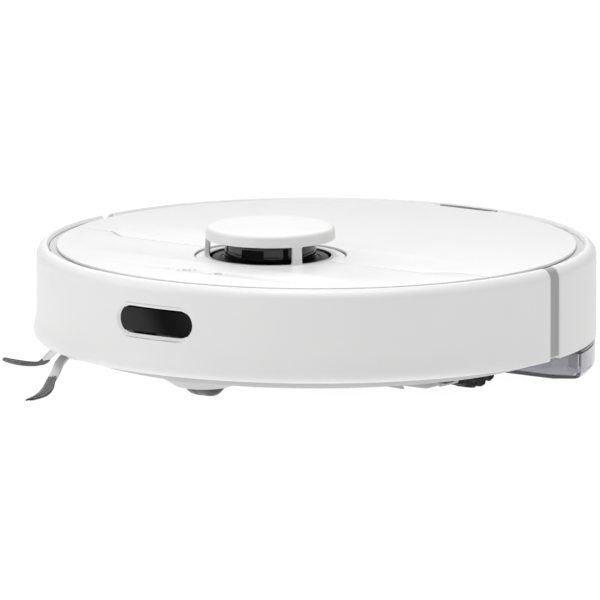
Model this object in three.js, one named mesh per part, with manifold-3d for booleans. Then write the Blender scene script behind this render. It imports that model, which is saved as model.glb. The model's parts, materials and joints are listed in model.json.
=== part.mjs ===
// Robot vacuum: a round floor cleaner with a lidar tower, a side brush and a rear water tank.
// Millimetres, +Z up, front towards -Y, +X on the robot's left. It is drawn about the body's centre on the
// floor, and the whole group then moves so that the origin is under the middle of its bounding box.
import * as THREE from "three";
import { mergeVertices } from "three/addons/utils/BufferGeometryUtils.js";
import Module from "manifold-3d";

const wasm = await Module();
wasm.setup();

// ---- Driving dimensions -------------------------------------------------------------------------
const BODY_R = 173.2; // outer wall
const FLARE_R = 175; // the wall's widest ring, near the bottom
const FRAME_R = 168; // side wall of the middle frame
const LIP_R = 166.5; // inner edge of the rim
const COVER_R = 160.7; // top covers
const BASE_FLAT_R = 138; // flat part of the base plate
const RIM_Z = 78.8;
const COVER_Z = 78.4;
const COVER_T = 1.7;
const DECK_Z = 76.2;
const DECK_T = 2;
const SPLIT_Z = 24.3; // middle frame stands on the base plate's wall here
const BASE_Z = 12; // ground clearance
const BASE_T = 2.2;
const GAP = 0.3; // between touching pieces
const WALL = 1.6;

const BUMPER_HALF = 91.7; // degrees from the front to the bumper's end
const HOUSING_HALF = 95.2; // degrees from the front to the rear housing's end
const BUMPER_TRAVEL = 4.5;
const HOUSING_Z = 21.6; // lower edge of the rear housing

const LIDAR_Y = -49;
const LIDAR_CAP_R = 40.2;
const LIDAR_CAP_Z = 88.9;
const LIDAR_TOP_Z = 96.8;
const LIDAR_SKIRT_R = 45.9;
const LIDAR_HOLE_R = 46.6;
const TURRET_R = 28.8;

const SPLIT_Y = -50; // line between front cover and lid
const SPLIT_GAP = 1.3;
const HINGE = { y: -55.2, z: 74.2, pin: 1.4, boss: 2.2 };

const PILL = { width: 53.4, height: 16.5, z: 53.5 };
const BUTTONS = [
  { name: "power_button", x: -9.4 },
  { name: "home_button", x: 14.6 },
];
const BUTTON_Y = -124.5;
const BUTTON_R = 5.2;

const WHEEL = { r: 36, root: 33.2, width: 20, face: 122.3, y: 2, lugs: 22 };
const ARM_PIVOT = { y: -36, z: 44 };
const CASTER = { y: -120, r: 17.5, width: 15.6, trail: 3 };
const SIDE_BRUSH = { x: -96, y: -115, arm: 45, tip: 88, turn: 163 };
const BRUSH = { y: -48, z: 21, r: 18, half: 78 };
const BAY = { half: 84, front: -1, back: 98, floor: 24.8 };
const TANK = { front: 39.2, bottom: 2.8, top: 21.2, r: 172.6 };

const FINE = 48; // facets round the body
const MEDIUM = 24;
const SMALL = 12;
const RADIAN = Math.PI / 180;

// ---- Materials ----------------------------------------------------------------------------------
function plastic(color, roughness, metalness = 0) {
  return new THREE.MeshStandardMaterial({ color, roughness, metalness });
}
const WHITE = plastic(0xf4f4f3, 0.45);
const PALE = plastic(0xdcdddd, 0.5);
const GREY = plastic(0x8d8f92, 0.55);
const BLACK = plastic(0x17181a, 0.35);
const GLOSS = plastic(0x08090b, 0.08);
const RUBBER = plastic(0x2b2c2e, 0.85);
const METAL = plastic(0xb9bcc0, 0.3, 0.9);
const BOARD = plastic(0x1f5a3a, 0.6);
const FILTER = plastic(0xe9ebe6, 0.9);
const CELL = plastic(0x3a6ea8, 0.45);
const CLEAR = new THREE.MeshStandardMaterial({
  color: 0x9a9ba3,
  roughness: 0.1,
  transparent: true,
  opacity: 0.6,
});

// ---- Shapes -------------------------------------------------------------------------------------
// A closed three.js geometry as a solid that can be joined and cut.
function solid(geometry) {
  const bare = geometry.clone();
  bare.deleteAttribute("normal");
  bare.deleteAttribute("uv");
  const merged = mergeVertices(bare, 1e-4);
  const corners = merged.index.array;
  const kept = [];
  for (let i = 0; i < corners.length; i += 3) {
    const [a, b, c] = [corners[i], corners[i + 1], corners[i + 2]];
    if (a !== b && b !== c && a !== c) kept.push(a, b, c);
  }
  const vertProperties = merged.attributes.position.array;
  const make = (list) =>
    new wasm.Manifold(new wasm.Mesh({ numProp: 3, vertProperties, triVerts: new Uint32Array(list) }));
  const made = make(kept);
  return made.volume() < 0 ? make(kept.reverse()) : made;
}

function geometryOf(body) {
  const mesh = body.getMesh();
  const points = new Float32Array(mesh.numVert * 3);
  for (let i = 0; i < mesh.numVert; i++) {
    const at = i * mesh.numProp;
    points.set(mesh.vertProperties.subarray(at, at + 3), i * 3);
  }
  const geometry = new THREE.BufferGeometry();
  geometry.setAttribute("position", new THREE.BufferAttribute(points, 3));
  geometry.setIndex(new THREE.BufferAttribute(mesh.triVerts, 1));
  geometry.computeVertexNormals();
  return geometry;
}

function join(...bodies) {
  return bodies.reduce((all, body) => all.add(body));
}

function cut(body, ...tools) {
  return tools.reduce((left, tool) => left.subtract(tool), body);
}

function box(x0, x1, y0, y1, z0, z1) {
  const geometry = new THREE.BoxGeometry(x1 - x0, y1 - y0, z1 - z0);
  geometry.translate((x0 + x1) / 2, (y0 + y1) / 2, (z0 + z1) / 2);
  return solid(geometry);
}

// A profile of [radius, height] pairs turned about +Z at (x, y). It closes on itself or runs axis to axis.
function lathe(profile, segments = MEDIUM, x = 0, y = 0) {
  const points = profile.map(([r, z]) => new THREE.Vector2(r, z));
  if (profile[0][0] !== 0) points.push(points[0].clone());
  const geometry = new THREE.LatheGeometry(points, segments);
  geometry.rotateX(Math.PI / 2);
  geometry.translate(x, y, 0);
  return solid(geometry);
}

function disc(r, z0, z1, x = 0, y = 0, segments = MEDIUM) {
  return lathe([[0, z0], [r, z0], [r, z1], [0, z1]], segments, x, y);
}

// The same along X: the profile's heights are x values, and the axis passes (y, z).
function latheX(profile, y, z, segments = MEDIUM) {
  const points = profile.map(([r, x]) => new THREE.Vector2(r, x));
  if (profile[0][0] !== 0) points.push(points[0].clone());
  const geometry = new THREE.LatheGeometry(points, segments);
  geometry.rotateZ(-Math.PI / 2);
  geometry.translate(0, y, z);
  return solid(geometry);
}

function rodX(r, x0, x1, y, z, segments = SMALL) {
  return latheX([[0, x0], [r, x0], [r, x1], [0, x1]], y, z, segments);
}

function latheY(profile, x, z, segments = MEDIUM) {
  const points = profile.map(([r, y]) => new THREE.Vector2(r, y));
  if (profile[0][0] !== 0) points.push(points[0].clone());
  const geometry = new THREE.LatheGeometry(points, segments);
  geometry.translate(x, 0, z);
  return solid(geometry);
}

// An outline of [x, y] points, drawn up from z0 to z1.
function slab(outline, z0, z1, holes = []) {
  const shape = new THREE.Shape(outline.map(([x, y]) => new THREE.Vector2(x, y)));
  for (const hole of holes) {
    shape.holes.push(new THREE.Path(hole.map(([x, y]) => new THREE.Vector2(x, y))));
  }
  const geometry = new THREE.ExtrudeGeometry(shape, { depth: z1 - z0, bevelEnabled: false });
  geometry.translate(0, 0, z0);
  return solid(geometry);
}

// The same outline standing on edge: its points are [y, z] and it runs along X.
function slabX(outline, x0, x1, holes = []) {
  const shape = new THREE.Shape(outline.map(([y, z]) => new THREE.Vector2(y, z)));
  for (const hole of holes) {
    shape.holes.push(new THREE.Path(hole.map(([y, z]) => new THREE.Vector2(y, z))));
  }
  const geometry = new THREE.ExtrudeGeometry(shape, { depth: x1 - x0, bevelEnabled: false });
  geometry.rotateY(Math.PI / 2);
  geometry.rotateX(Math.PI / 2);
  geometry.translate(x0, 0, 0);
  return solid(geometry);
}

// A point at an angle from the robot's front, in degrees towards its left.
function around(r, degrees) {
  return [r * Math.sin(degrees * RADIAN), -r * Math.cos(degrees * RADIAN)];
}

// A wedge from the centre between two such angles.
function wedge(from, to, z0 = 0, z1 = 100) {
  const steps = Math.max(2, Math.ceil((to - from) / 20));
  const outline = [[0, 0]];
  for (let i = 0; i <= steps; i++) outline.push(around(300, from + ((to - from) * i) / steps));
  return slab(outline, z0, z1);
}

function arc(cx, cy, r, from, to, steps) {
  const points = [];
  for (let i = 0; i <= steps; i++) {
    const a = (from + ((to - from) * i) / steps) * RADIAN;
    points.push([cx + r * Math.cos(a), cy + r * Math.sin(a)]);
  }
  return points;
}

// A stadium outline, longer along its first axis.
function pill(cx, cy, width, height, steps = 8) {
  const r = height / 2;
  const reach = width / 2 - r;
  return [...arc(cx + reach, cy, r, -90, 90, steps), ...arc(cx - reach, cy, r, 90, 270, steps)];
}

// A pill-shaped plug through the front wall, along Y.
function pillPlug(grow, y0, y1) {
  const outline = pill(0, 0, PILL.width + 2 * grow, PILL.height + 2 * grow);
  const geometry = new THREE.ExtrudeGeometry(
    new THREE.Shape(outline.map(([x, z]) => new THREE.Vector2(x, z))),
    { depth: y1 - y0, bevelEnabled: false },
  );
  geometry.rotateX(Math.PI / 2);
  geometry.translate(0, y1, PILL.z);
  return solid(geometry);
}

function mirrored(body) {
  return body.mirror([1, 0, 0]);
}

// A rectangular tub or tube: an outer box less an inner one.
function shell(x0, x1, y0, y1, z0, z1, wall, open) {
  const lower = open.bottom ? -1 : wall;
  const upper = open.top ? -1 : wall;
  const front = open.front ? -1 : wall;
  const back = open.back ? -1 : wall;
  return box(x0, x1, y0, y1, z0, z1).subtract(
    box(x0 + wall, x1 - wall, y0 + front, y1 - back, z0 + lower, z1 - upper),
  );
}

// ---- The assembly -------------------------------------------------------------------------------
const robot = new THREE.Group();

function piece(name, body, material, parent = robot) {
  const mesh = new THREE.Mesh(geometryOf(body), material);
  mesh.name = name;
  parent.add(mesh);
  return mesh;
}

// ---- Outer wall: the bumper in front and the housing behind share one section -------------------
const WALL_T = 2.4;
const RIM_ARC = arc(BODY_R - 7, RIM_Z - 7, 7, 0, 80, 4);
const WALL_INNER = [
  [LIP_R, RIM_Z - 1.8],
  [168.8, RIM_Z - 1.9],
  [170.2, 74.2],
  [BODY_R - WALL_T, 70.5],
];
const WALL_OUTER = [[FLARE_R - 0.4, 32], [173.9, 42], [BODY_R, 56], ...RIM_ARC, [LIP_R, RIM_Z - 0.4]];
const BUMPER_SECTION = [
  [171, 21.3],
  [172.5, 21],
  [174.1, 22.6],
  [FLARE_R, 26.6],
  ...WALL_OUTER,
  ...WALL_INNER,
  [BODY_R - WALL_T, 22.4],
];
const HOUSING_SECTION = [
  [173.6, HOUSING_Z],
  [FLARE_R - 0.1, 25.5],
  ...WALL_OUTER,
  ...WALL_INNER,
  [BODY_R - WALL_T, HOUSING_Z],
];
const RETURN = { r: FRAME_R + GAP, degrees: 1.2 }; // the walls turn inwards at their ends

// The room inside the wall, which the middle frame has to keep within.
const CAVITY = [
  [0, 0],
  [170.3, 0],
  [170.3, 70.4],
  [169.6, 73.8],
  [168.2, DECK_Z],
  [168.2, DECK_Z + GAP],
  [0, DECK_Z + GAP],
];
const BUMPER_ROOM = lathe(CAVITY, FINE)
  .intersect(lathe(CAVITY, FINE, 0, BUMPER_TRAVEL + GAP))
  .intersect(box(-200, 200, -200, 10, -1, 100))
  .add(lathe(CAVITY, FINE).intersect(box(-200, 200, 9.9, 200, -1, 100)));

function endReturn(from, to, z0) {
  return lathe(
    [[RETURN.r, z0], [172, z0], [172, 70], [169.6, 75.6], [168.6, 75.6], [RETURN.r, 74.6]],
    FINE,
  ).intersect(wedge(from, to));
}

const bumperRing = lathe(BUMPER_SECTION, FINE).intersect(wedge(-BUMPER_HALF, BUMPER_HALF));
const bumperEnds = [-BUMPER_HALF, BUMPER_HALF - RETURN.degrees].map((from) =>
  endReturn(from, from + RETURN.degrees, 22.6),
);
const BEZEL = 1.1;
const bumperBezel = pillPlug(BEZEL, -174.5, -172.2);
piece(
  "bumper",
  cut(join(bumperRing, ...bumperEnds), pillPlug(GAP, -180, -160), bumperBezel),
  WHITE,
);
const WINDOW_R = BODY_R - 0.9;
const windowRing = lathe(
  [
    [BODY_R - WALL_T, 40],
    [WINDOW_R, 40],
    [WINDOW_R, 67],
    [BODY_R - WALL_T, 67],
  ],
  FINE,
);
piece("sensor_window", windowRing.intersect(pillPlug(0, -180, -160)), GLOSS);

const HOUSING_END = 360 - HOUSING_HALF;
const NOTCH_HALF = 21;
const EXHAUST = { count: 12, pitch: 3, width: 1.4, low: 38, high: 58 };
const exhaustSlots = [];
for (let i = 0; i < EXHAUST.count; i++) {
  const from = 180 + (i - (EXHAUST.count - 1) / 2) * EXHAUST.pitch - EXHAUST.width / 2;
  exhaustSlots.push(wedge(from, from + EXHAUST.width, EXHAUST.low, EXHAUST.high));
}
const housingEnds = [HOUSING_HALF, HOUSING_END - RETURN.degrees].map((from) =>
  endReturn(from, from + RETURN.degrees, HOUSING_Z),
);
piece(
  "rear_housing",
  cut(
    join(lathe(HOUSING_SECTION, FINE).intersect(wedge(HOUSING_HALF, HOUSING_END)), ...housingEnds),
    ...exhaustSlots,
  ),
  WHITE,
);

// ---- Middle frame: side wall, deck and the bracket of the lid's hinge ---------------------------
const LIDAR_WELL_R = 46.3;
// The arm's drop, bar, riser and back are measured from the hinge line.
const HINGE_ARM = { inner: 94.8, outer: 98.8, low: 6.3, bar: 2, riser: 8.4, back: 10.6 };
const EAR = { inner: 90.8, outer: 102.8, half: 3.6, depth: 5.4 };
const FINGER = { half: NOTCH_HALF, y0: 155.5, y1: 164.8, floor: 69.4 };

const frameShell = lathe(
  [
    [0, DECK_Z],
    [FRAME_R - 0.6, DECK_Z],
    [FRAME_R, DECK_Z - 0.6],
    [FRAME_R, SPLIT_Z],
    [FRAME_R - 2.2, SPLIT_Z],
    [FRAME_R - 2.2, DECK_Z - DECK_T],
    [0, DECK_Z - DECK_T],
  ],
  FINE,
);
const fingerTray = box(
  -FINGER.half - WALL,
  FINGER.half + WALL,
  FINGER.y0 - WALL,
  166,
  FINGER.floor - WALL,
  DECK_Z,
);
const hingeEars = box(
  EAR.inner,
  EAR.outer,
  HINGE.y - EAR.half,
  HINGE.y + EAR.half,
  DECK_Z - EAR.depth,
  DECK_Z,
);
const hingeCuts = [
  box(
    HINGE_ARM.inner - 0.4,
    HINGE_ARM.outer + 0.4,
    HINGE.y - EAR.half - 0.1,
    HINGE.y + HINGE_ARM.back + 2.6,
    60,
    90,
  ),
  rodX(HINGE.pin + GAP, EAR.inner + 0.8, EAR.outer - 0.8, HINGE.y, HINGE.z),
  box(
    EAR.inner + 0.8,
    EAR.outer - 0.8,
    HINGE.y - HINGE.pin - GAP,
    HINGE.y + HINGE.pin + GAP,
    HINGE.z,
    90,
  ),
];
const deckCuts = [
  disc(LIDAR_WELL_R, 60, 90, 0, LIDAR_Y),
  box(-BAY.half + 2, BAY.half - 2, BAY.front + 2, BAY.back - 2, 60, 90),
  box(-FINGER.half, FINGER.half, FINGER.y0, FINGER.y1, FINGER.floor, 90),
  ...BUTTONS.map((button) => disc(3, 60, 90, button.x, BUTTON_Y, SMALL)),
  pillPlug(3, -175, -155),
  ...hingeCuts,
  ...hingeCuts.map(mirrored),
];
piece(
  "middle_frame",
  cut(join(frameShell.intersect(BUMPER_ROOM), fingerTray, hingeEars, mirrored(hingeEars)), ...deckCuts),
  PALE,
);

// ---- Base plate ---------------------------------------------------------------------------------
const WHEEL_WELL = { x0: 89.6, x1: 125.8, y0: -42, y1: 36.8 };
const MOUTH = { half: 80, y0: -76, y1: -26 };
const ARM_PIN_R = 4;
const PIVOT_POST = { x0: 85.2, x1: 89.4 };
const TANK_BAY = { wall: 37.2, t: 1.6, roof: 22 };
const BATTERY = { x0: 37, x1: 78, y0: -110, y1: -81, z1: 53 };
const BATTERY_DOOR = { x0: 34, x1: 80, y0: -112, y1: -80 };
const CUP_HOLE_R = 28.4;
const CONTACT = { x: 40, y: -127, half: 7, halfDepth: 3 };
const CLIFF_SPOTS = [
  { name: "cliff_sensor_front_left", at: [52, -117], z: BASE_Z + 0.4 },
  { name: "cliff_sensor_front_right", at: [-52, -117], z: BASE_Z + 0.4 },
  { name: "cliff_sensor_left", at: [131, -52], z: BASE_Z + 0.4 },
  { name: "cliff_sensor_right", at: [-131, -52], z: BASE_Z + 0.4 },
];
const CLIFF = { half: 6.5, halfDepth: 4 };

const basePan = lathe(
  [
    [0, BASE_Z],
    [BASE_FLAT_R, BASE_Z],
    [150, 14.1],
    [160, 17.8],
    [FRAME_R - 0.4, 22.4],
    [FRAME_R - 0.4, SPLIT_Z - GAP],
    [FRAME_R - 2.6, SPLIT_Z - GAP],
    [FRAME_R - 3, 23.6],
    [158.8, 19.7],
    [149.2, 16.2],
    [BASE_FLAT_R - 0.4, BASE_Z + BASE_T],
    [0, BASE_Z + BASE_T],
  ],
  FINE,
).intersect(BUMPER_ROOM);
const panRoom = lathe(
  [
    [0, BASE_Z],
    [BASE_FLAT_R, BASE_Z],
    [150, 14.1],
    [160, 17.8],
    [FRAME_R - 0.4, 22.4],
    [FRAME_R - 0.4, SPLIT_Z - GAP],
    [0, SPLIT_Z - GAP],
  ],
  FINE,
).intersect(BUMPER_ROOM);
// The side brush sits in a hollow of the base, with room for its sloping arms all the way round.
const brushRoof = lathe(
  [[0, BASE_Z], [37.6, BASE_Z], [37.6, 12.6], [17.8, 22.6], [0, 22.6]],
  MEDIUM,
  SIDE_BRUSH.x,
  SIDE_BRUSH.y,
).intersect(panRoom);
const brushRoom = lathe(
  [[0, 0], [36, 0], [36, 11.8], [17, 21], [0, 21]],
  MEDIUM,
  SIDE_BRUSH.x,
  SIDE_BRUSH.y,
);
const bayCut = box(-200, 200, TANK_BAY.wall, 200, -1, 30);
const bayWall = box(-160, 160, TANK_BAY.wall - 0.1, TANK_BAY.wall + TANK_BAY.t, BASE_Z, 24).intersect(
  disc(161, 0, 30, 0, 0, FINE),
);
const bayRoof = disc(FRAME_R - 2.4, TANK_BAY.roof, 24, 0, 0, FINE).intersect(
  box(-200, 200, TANK_BAY.wall - 0.1, 200, 0, 30),
);
const wheelCuts = [-1, 1].map((side) => {
  const [x0, x1] = [side * WHEEL_WELL.x0, side * WHEEL_WELL.x1].sort((a, b) => a - b);
  return box(x0, x1, WHEEL_WELL.y0, WHEEL_WELL.y1, 0, 40);
});
const pivotPost = cut(
  box(PIVOT_POST.x0, PIVOT_POST.x1, ARM_PIVOT.y - 7, ARM_PIVOT.y + 7, BASE_Z + 1, ARM_PIVOT.z + 7),
  rodX(ARM_PIN_R + GAP, PIVOT_POST.x0 - 1, PIVOT_POST.x1 + 1, ARM_PIVOT.y, ARM_PIVOT.z),
);
const contactCuts = [-1, 1].map((side) =>
  box(
    side * CONTACT.x - CONTACT.half - GAP,
    side * CONTACT.x + CONTACT.half + GAP,
    CONTACT.y - CONTACT.halfDepth - GAP,
    CONTACT.y + CONTACT.halfDepth + GAP,
    0,
    20,
  ),
);
const cliffCuts = CLIFF_SPOTS.map(({ at: [x, y] }) =>
  box(
    x - CLIFF.half - GAP,
    x + CLIFF.half + GAP,
    y - CLIFF.halfDepth - GAP,
    y + CLIFF.halfDepth + GAP,
    0,
    20,
  ),
);
piece(
  "base_plate",
  cut(
    join(cut(basePan, bayCut), bayWall, bayRoof, pivotPost, mirrored(pivotPost), brushRoof),
    box(-MOUTH.half, MOUTH.half, MOUTH.y0, MOUTH.y1, 0, 20),
    box(BATTERY_DOOR.x0, BATTERY_DOOR.x1, BATTERY_DOOR.y0, BATTERY_DOOR.y1, 0, 20),
    disc(CUP_HOLE_R, 0, 20, 0, CASTER.y),
    brushRoom,
    disc(5, 0, 24, SIDE_BRUSH.x, SIDE_BRUSH.y, SMALL),
    ...wheelCuts,
    ...contactCuts,
    ...cliffCuts,
  ),
  PALE,
);
piece(
  "battery_door",
  box(
    BATTERY_DOOR.x0 + GAP,
    BATTERY_DOOR.x1 - GAP,
    BATTERY_DOOR.y0 + GAP,
    BATTERY_DOOR.y1 - GAP,
    BASE_Z,
    BASE_Z + BASE_T,
  ),
  PALE,
);
for (const [name, side] of [["charging_contact_left", 1], ["charging_contact_right", -1]]) {
  piece(
    name,
    box(
      side * CONTACT.x - CONTACT.half,
      side * CONTACT.x + CONTACT.half,
      CONTACT.y - CONTACT.halfDepth,
      CONTACT.y + CONTACT.halfDepth,
      BASE_Z - 0.5,
      BASE_Z + BASE_T,
    ),
    METAL,
  );
}
for (const { name, at: [x, y], z } of CLIFF_SPOTS) {
  const window = box(x - CLIFF.half, x + CLIFF.half, y - CLIFF.halfDepth, y + CLIFF.halfDepth, z, 20);
  piece(name, window, GLOSS);
}

// ---- Top covers ---------------------------------------------------------------------------------
const BEND = { from: 110, to: 132, rise: 12.5 };

// The front cover's rear edge: straight across, then an S-bend back near each side.
function splitLine(offset) {
  const line = [];
  const bend = [0, 0.25, 0.5, 0.75, 1];
  const half = bend.map((t) => {
    const x = BEND.from + (BEND.to - BEND.from) * t;
    return [x, SPLIT_Y + BEND.rise * t * t * (3 - 2 * t) + offset];
  });
  line.push([-200, half[4][1]]);
  for (const [x, y] of [...half].reverse()) line.push([-x, y]);
  for (const [x, y] of half) line.push([x, y]);
  line.push([200, half[4][1]]);
  return line;
}

const coverDisc = lathe(
  [
    [0, COVER_Z - COVER_T],
    [COVER_R, COVER_Z - COVER_T],
    [COVER_R, COVER_Z - 0.5],
    [COVER_R - 0.5, COVER_Z],
    [0, COVER_Z],
  ],
  FINE,
);
const lidarNotch = disc(LIDAR_HOLE_R, 60, 90, 0, LIDAR_Y);
const frontOutline = [...splitLine(-SPLIT_GAP / 2), [200, -200], [-200, -200]];
const lidOutline = [...splitLine(SPLIT_GAP / 2), [200, 200], [-200, 200]];
piece(
  "front_cover",
  cut(
    coverDisc.intersect(slab(frontOutline, 60, 90)),
    lidarNotch,
    ...BUTTONS.map((button) => disc(BUTTON_R + GAP, 60, 90, button.x, BUTTON_Y, SMALL)),
  ),
  WHITE,
);

// A gooseneck that hangs under the front cover's edge and comes up behind the split, clear of both.
const neckLow = HINGE.z - HINGE_ARM.low;
const hingeArm = join(
  rodX(HINGE.boss, HINGE_ARM.inner, HINGE_ARM.outer, HINGE.y, HINGE.z),
  rodX(HINGE.pin, EAR.inner + 1.2, EAR.outer - 1.2, HINGE.y, HINGE.z),
  slabX(
    [
      [HINGE.y - HINGE.boss, HINGE.z],
      [HINGE.y - HINGE.boss, neckLow],
      [HINGE.y + HINGE_ARM.back, neckLow],
      [HINGE.y + HINGE_ARM.back, COVER_Z - COVER_T + 0.2],
      [HINGE.y + HINGE_ARM.riser, COVER_Z - COVER_T + 0.2],
      [HINGE.y + HINGE_ARM.riser, neckLow + HINGE_ARM.bar],
      [HINGE.y + HINGE.boss, neckLow + HINGE_ARM.bar],
      [HINGE.y + HINGE.boss, HINGE.z],
    ],
    HINGE_ARM.inner,
    HINGE_ARM.outer,
  ),
);
piece(
  "lid",
  cut(
    join(coverDisc.intersect(slab(lidOutline, 60, 90)), hingeArm, mirrored(hingeArm)),
    lidarNotch,
    box(-NOTCH_HALF, NOTCH_HALF, 157.4, 170, 60, 90),
  ),
  WHITE,
);

for (const button of BUTTONS) {
  piece(
    button.name,
    join(
      disc(BUTTON_R, COVER_Z - 1.4, COVER_Z - 0.1, button.x, BUTTON_Y, SMALL),
      disc(2.4, 68, COVER_Z - 1.2, button.x, BUTTON_Y, SMALL),
    ),
    WHITE,
  );
}

// ---- Lidar tower --------------------------------------------------------------------------------
const PILLAR = { half: 4, inner: LIDAR_CAP_R - 5, angles: [-60, 60, 180] };
const cap = lathe(
  [
    [0, LIDAR_CAP_Z + 1.4],
    [PILLAR.inner, LIDAR_CAP_Z + 1.4],
    [PILLAR.inner, LIDAR_CAP_Z],
    [LIDAR_CAP_R, LIDAR_CAP_Z],
    [LIDAR_CAP_R, 94],
    [39.4, 95.6],
    [37.2, 96.5],
    [30, LIDAR_TOP_Z],
    [0, LIDAR_TOP_Z],
  ],
  MEDIUM + 12,
  0,
  LIDAR_Y,
);
const skirt = lathe(
  [
    [38.8, 76.9],
    [LIDAR_SKIRT_R - 0.6, 76.9],
    [LIDAR_SKIRT_R, 77.3],
    [LIDAR_SKIRT_R - 0.8, 77.9],
    [42.6, 78.6],
    [LIDAR_CAP_R, 79.3],
    [38.8, 79.3],
  ],
  MEDIUM + 12,
  0,
  LIDAR_Y,
);
const pillarRing = lathe(
  [
    [PILLAR.inner + 1, 77.4],
    [LIDAR_CAP_R, 77.4],
    [LIDAR_CAP_R, LIDAR_CAP_Z + 0.5],
    [PILLAR.inner + 1, LIDAR_CAP_Z + 0.5],
  ],
  MEDIUM + 12,
);
const pillars = PILLAR.angles.map((angle) =>
  pillarRing.intersect(wedge(angle - PILLAR.half, angle + PILLAR.half)).translate([0, LIDAR_Y, 0]),
);
piece("lidar_cover", join(cap, skirt, ...pillars), WHITE);

const TURRET = { low: 77.7, high: 87.2, shaft: 3, pulley: 12, pulleyLow: 60.4, pulleyHigh: 65.6 };
const turretWindow = box(-7, 7, LIDAR_Y - 30, LIDAR_Y - 26.6, 79.4, 85.6);
piece(
  "lidar_turret",
  cut(
    lathe(
      [
        [0, TURRET.pulleyLow],
        [TURRET.pulley, TURRET.pulleyLow],
        [TURRET.pulley, TURRET.pulleyHigh],
        [TURRET.shaft, TURRET.pulleyHigh],
        [TURRET.shaft, TURRET.low],
        [TURRET_R - 0.8, TURRET.low],
        [TURRET_R, TURRET.low + 0.8],
        [TURRET_R, TURRET.high - 1],
        [TURRET_R - 1, TURRET.high],
        [0, TURRET.high],
      ],
      MEDIUM,
      0,
      LIDAR_Y,
    ),
    turretWindow,
  ),
  GLOSS,
);
piece(
  "lidar_base",
  lathe(
    [
      [TURRET.shaft + GAP, 66.6],
      [34, 66.6],
      [35.8, 68],
      [35.8, 77.2],
      [31, 77.2],
      [30.4, 76.6],
      [TURRET.shaft + GAP, 76.6],
    ],
    MEDIUM,
    0,
    LIDAR_Y,
  ),
  BLACK,
);
const LIDAR_MOTOR = { x: 30, y: -78, r: 4 };
piece(
  "lidar_motor_pulley",
  join(
    disc(LIDAR_MOTOR.r, TURRET.pulleyLow, TURRET.pulleyHigh, LIDAR_MOTOR.x, LIDAR_MOTOR.y, SMALL),
    disc(1.2, TURRET.pulleyHigh - 0.5, 67.4, LIDAR_MOTOR.x, LIDAR_MOTOR.y, 12),
  ),
  METAL,
);
piece(
  "lidar_motor",
  cut(
    disc(7, 47, 59.8, LIDAR_MOTOR.x, LIDAR_MOTOR.y, SMALL),
    disc(1.6, 58, 61, LIDAR_MOTOR.x, LIDAR_MOTOR.y, 12),
  ),
  METAL,
);

// A belt round two pulleys: two arcs joined by their outer tangents.
function beltOutline(first, r1, second, r2) {
  const dx = second[0] - first[0];
  const dy = second[1] - first[1];
  const heading = Math.atan2(dy, dx) / RADIAN;
  const spread = Math.acos((r1 - r2) / Math.hypot(dx, dy)) / RADIAN;
  return [
    ...arc(...first, r1, heading + spread, heading + 360 - spread, 16),
    ...arc(...second, r2, heading - spread, heading + spread, 8),
  ];
}
const BELT_T = 1;
const beltEnds = [[0, LIDAR_Y], [LIDAR_MOTOR.x, LIDAR_MOTOR.y]];
const beltSize = (grow) =>
  beltOutline(beltEnds[0], TURRET.pulley + grow, beltEnds[1], LIDAR_MOTOR.r + grow);
piece("lidar_belt", cut(slab(beltSize(GAP + BELT_T), 61.6, 64.4), slab(beltSize(GAP), 60, 66)), RUBBER);

// ---- Dust path ----------------------------------------------------------------------------------
const INLET = { half: 28, low: 34, high: 56 };
const BLOWER = { x: 42, z: 46.5, r: 21 };
const BAY_TOP = DECK_Z - DECK_T - GAP;
piece(
  "bin_bay",
  cut(
    shell(-BAY.half, BAY.half, BAY.front, BAY.back, BAY.floor, BAY_TOP, WALL, { top: true }),
    box(-INLET.half, INLET.half, BAY.front - 5, BAY.front + 5, INLET.low, INLET.high),
    box(-60, 70, BAY.back - 5, BAY.back + 5, 36, 64),
  ),
  GREY,
);
const BIN = { half: BAY.half - 3.4, front: BAY.front + 3.4, back: BAY.back - 3.4, low: 27.4, high: 73 };
const FILTER_WINDOW = { half: 62, low: 35, high: 66 };
const filterCut = box(
  -FILTER_WINDOW.half,
  FILTER_WINDOW.half,
  BIN.back - 5,
  BIN.back + 5,
  FILTER_WINDOW.low,
  FILTER_WINDOW.high,
);
piece(
  "dust_bin",
  cut(
    shell(-BIN.half, BIN.half, BIN.front, BIN.back, BIN.low, BIN.high, WALL + 0.4, { top: true }),
    box(-INLET.half, INLET.half, BIN.front - 5, BIN.front + 5, INLET.low, INLET.high),
    filterCut,
  ),
  GREY,
);
const GRIP = { half: 22, y0: 30, y1: 52 };
piece(
  "bin_top",
  cut(
    box(-BIN.half, BIN.half, BIN.front, BIN.back, BIN.high + GAP, DECK_Z - 0.6),
    box(-GRIP.half, GRIP.half, GRIP.y0, GRIP.y1, 70, 80),
  ),
  GREY,
);
piece(
  "filter",
  box(
    -FILTER_WINDOW.half + GAP,
    FILTER_WINDOW.half - GAP,
    BIN.back - 9,
    BIN.back,
    FILTER_WINDOW.low + GAP,
    FILTER_WINDOW.high - GAP,
  ),
  FILTER,
);

const HOUSE = { half: 82.6, y0: -78.6, y1: -22.4, top: 44 };
const DUCT = { half: INLET.half + 3, low: 27, high: INLET.high + 3 };
const brushChamber = shell(
  -HOUSE.half,
  HOUSE.half,
  HOUSE.y0,
  HOUSE.y1,
  BASE_Z + BASE_T + GAP,
  HOUSE.top,
  2,
  { bottom: true },
);
const suctionDuct = shell(
  -DUCT.half,
  DUCT.half,
  HOUSE.y1 - 1,
  BAY.front - GAP,
  DUCT.low,
  DUCT.high,
  WALL,
  { back: true },
);
piece(
  "brush_housing",
  cut(
    join(brushChamber, suctionDuct),
    box(-INLET.half, INLET.half, HOUSE.y1 - 5, HOUSE.y1 + 5, 30, 41),
    rodX(5, 75, 90, BRUSH.y, BRUSH.z),
  ),
  PALE,
);

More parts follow.
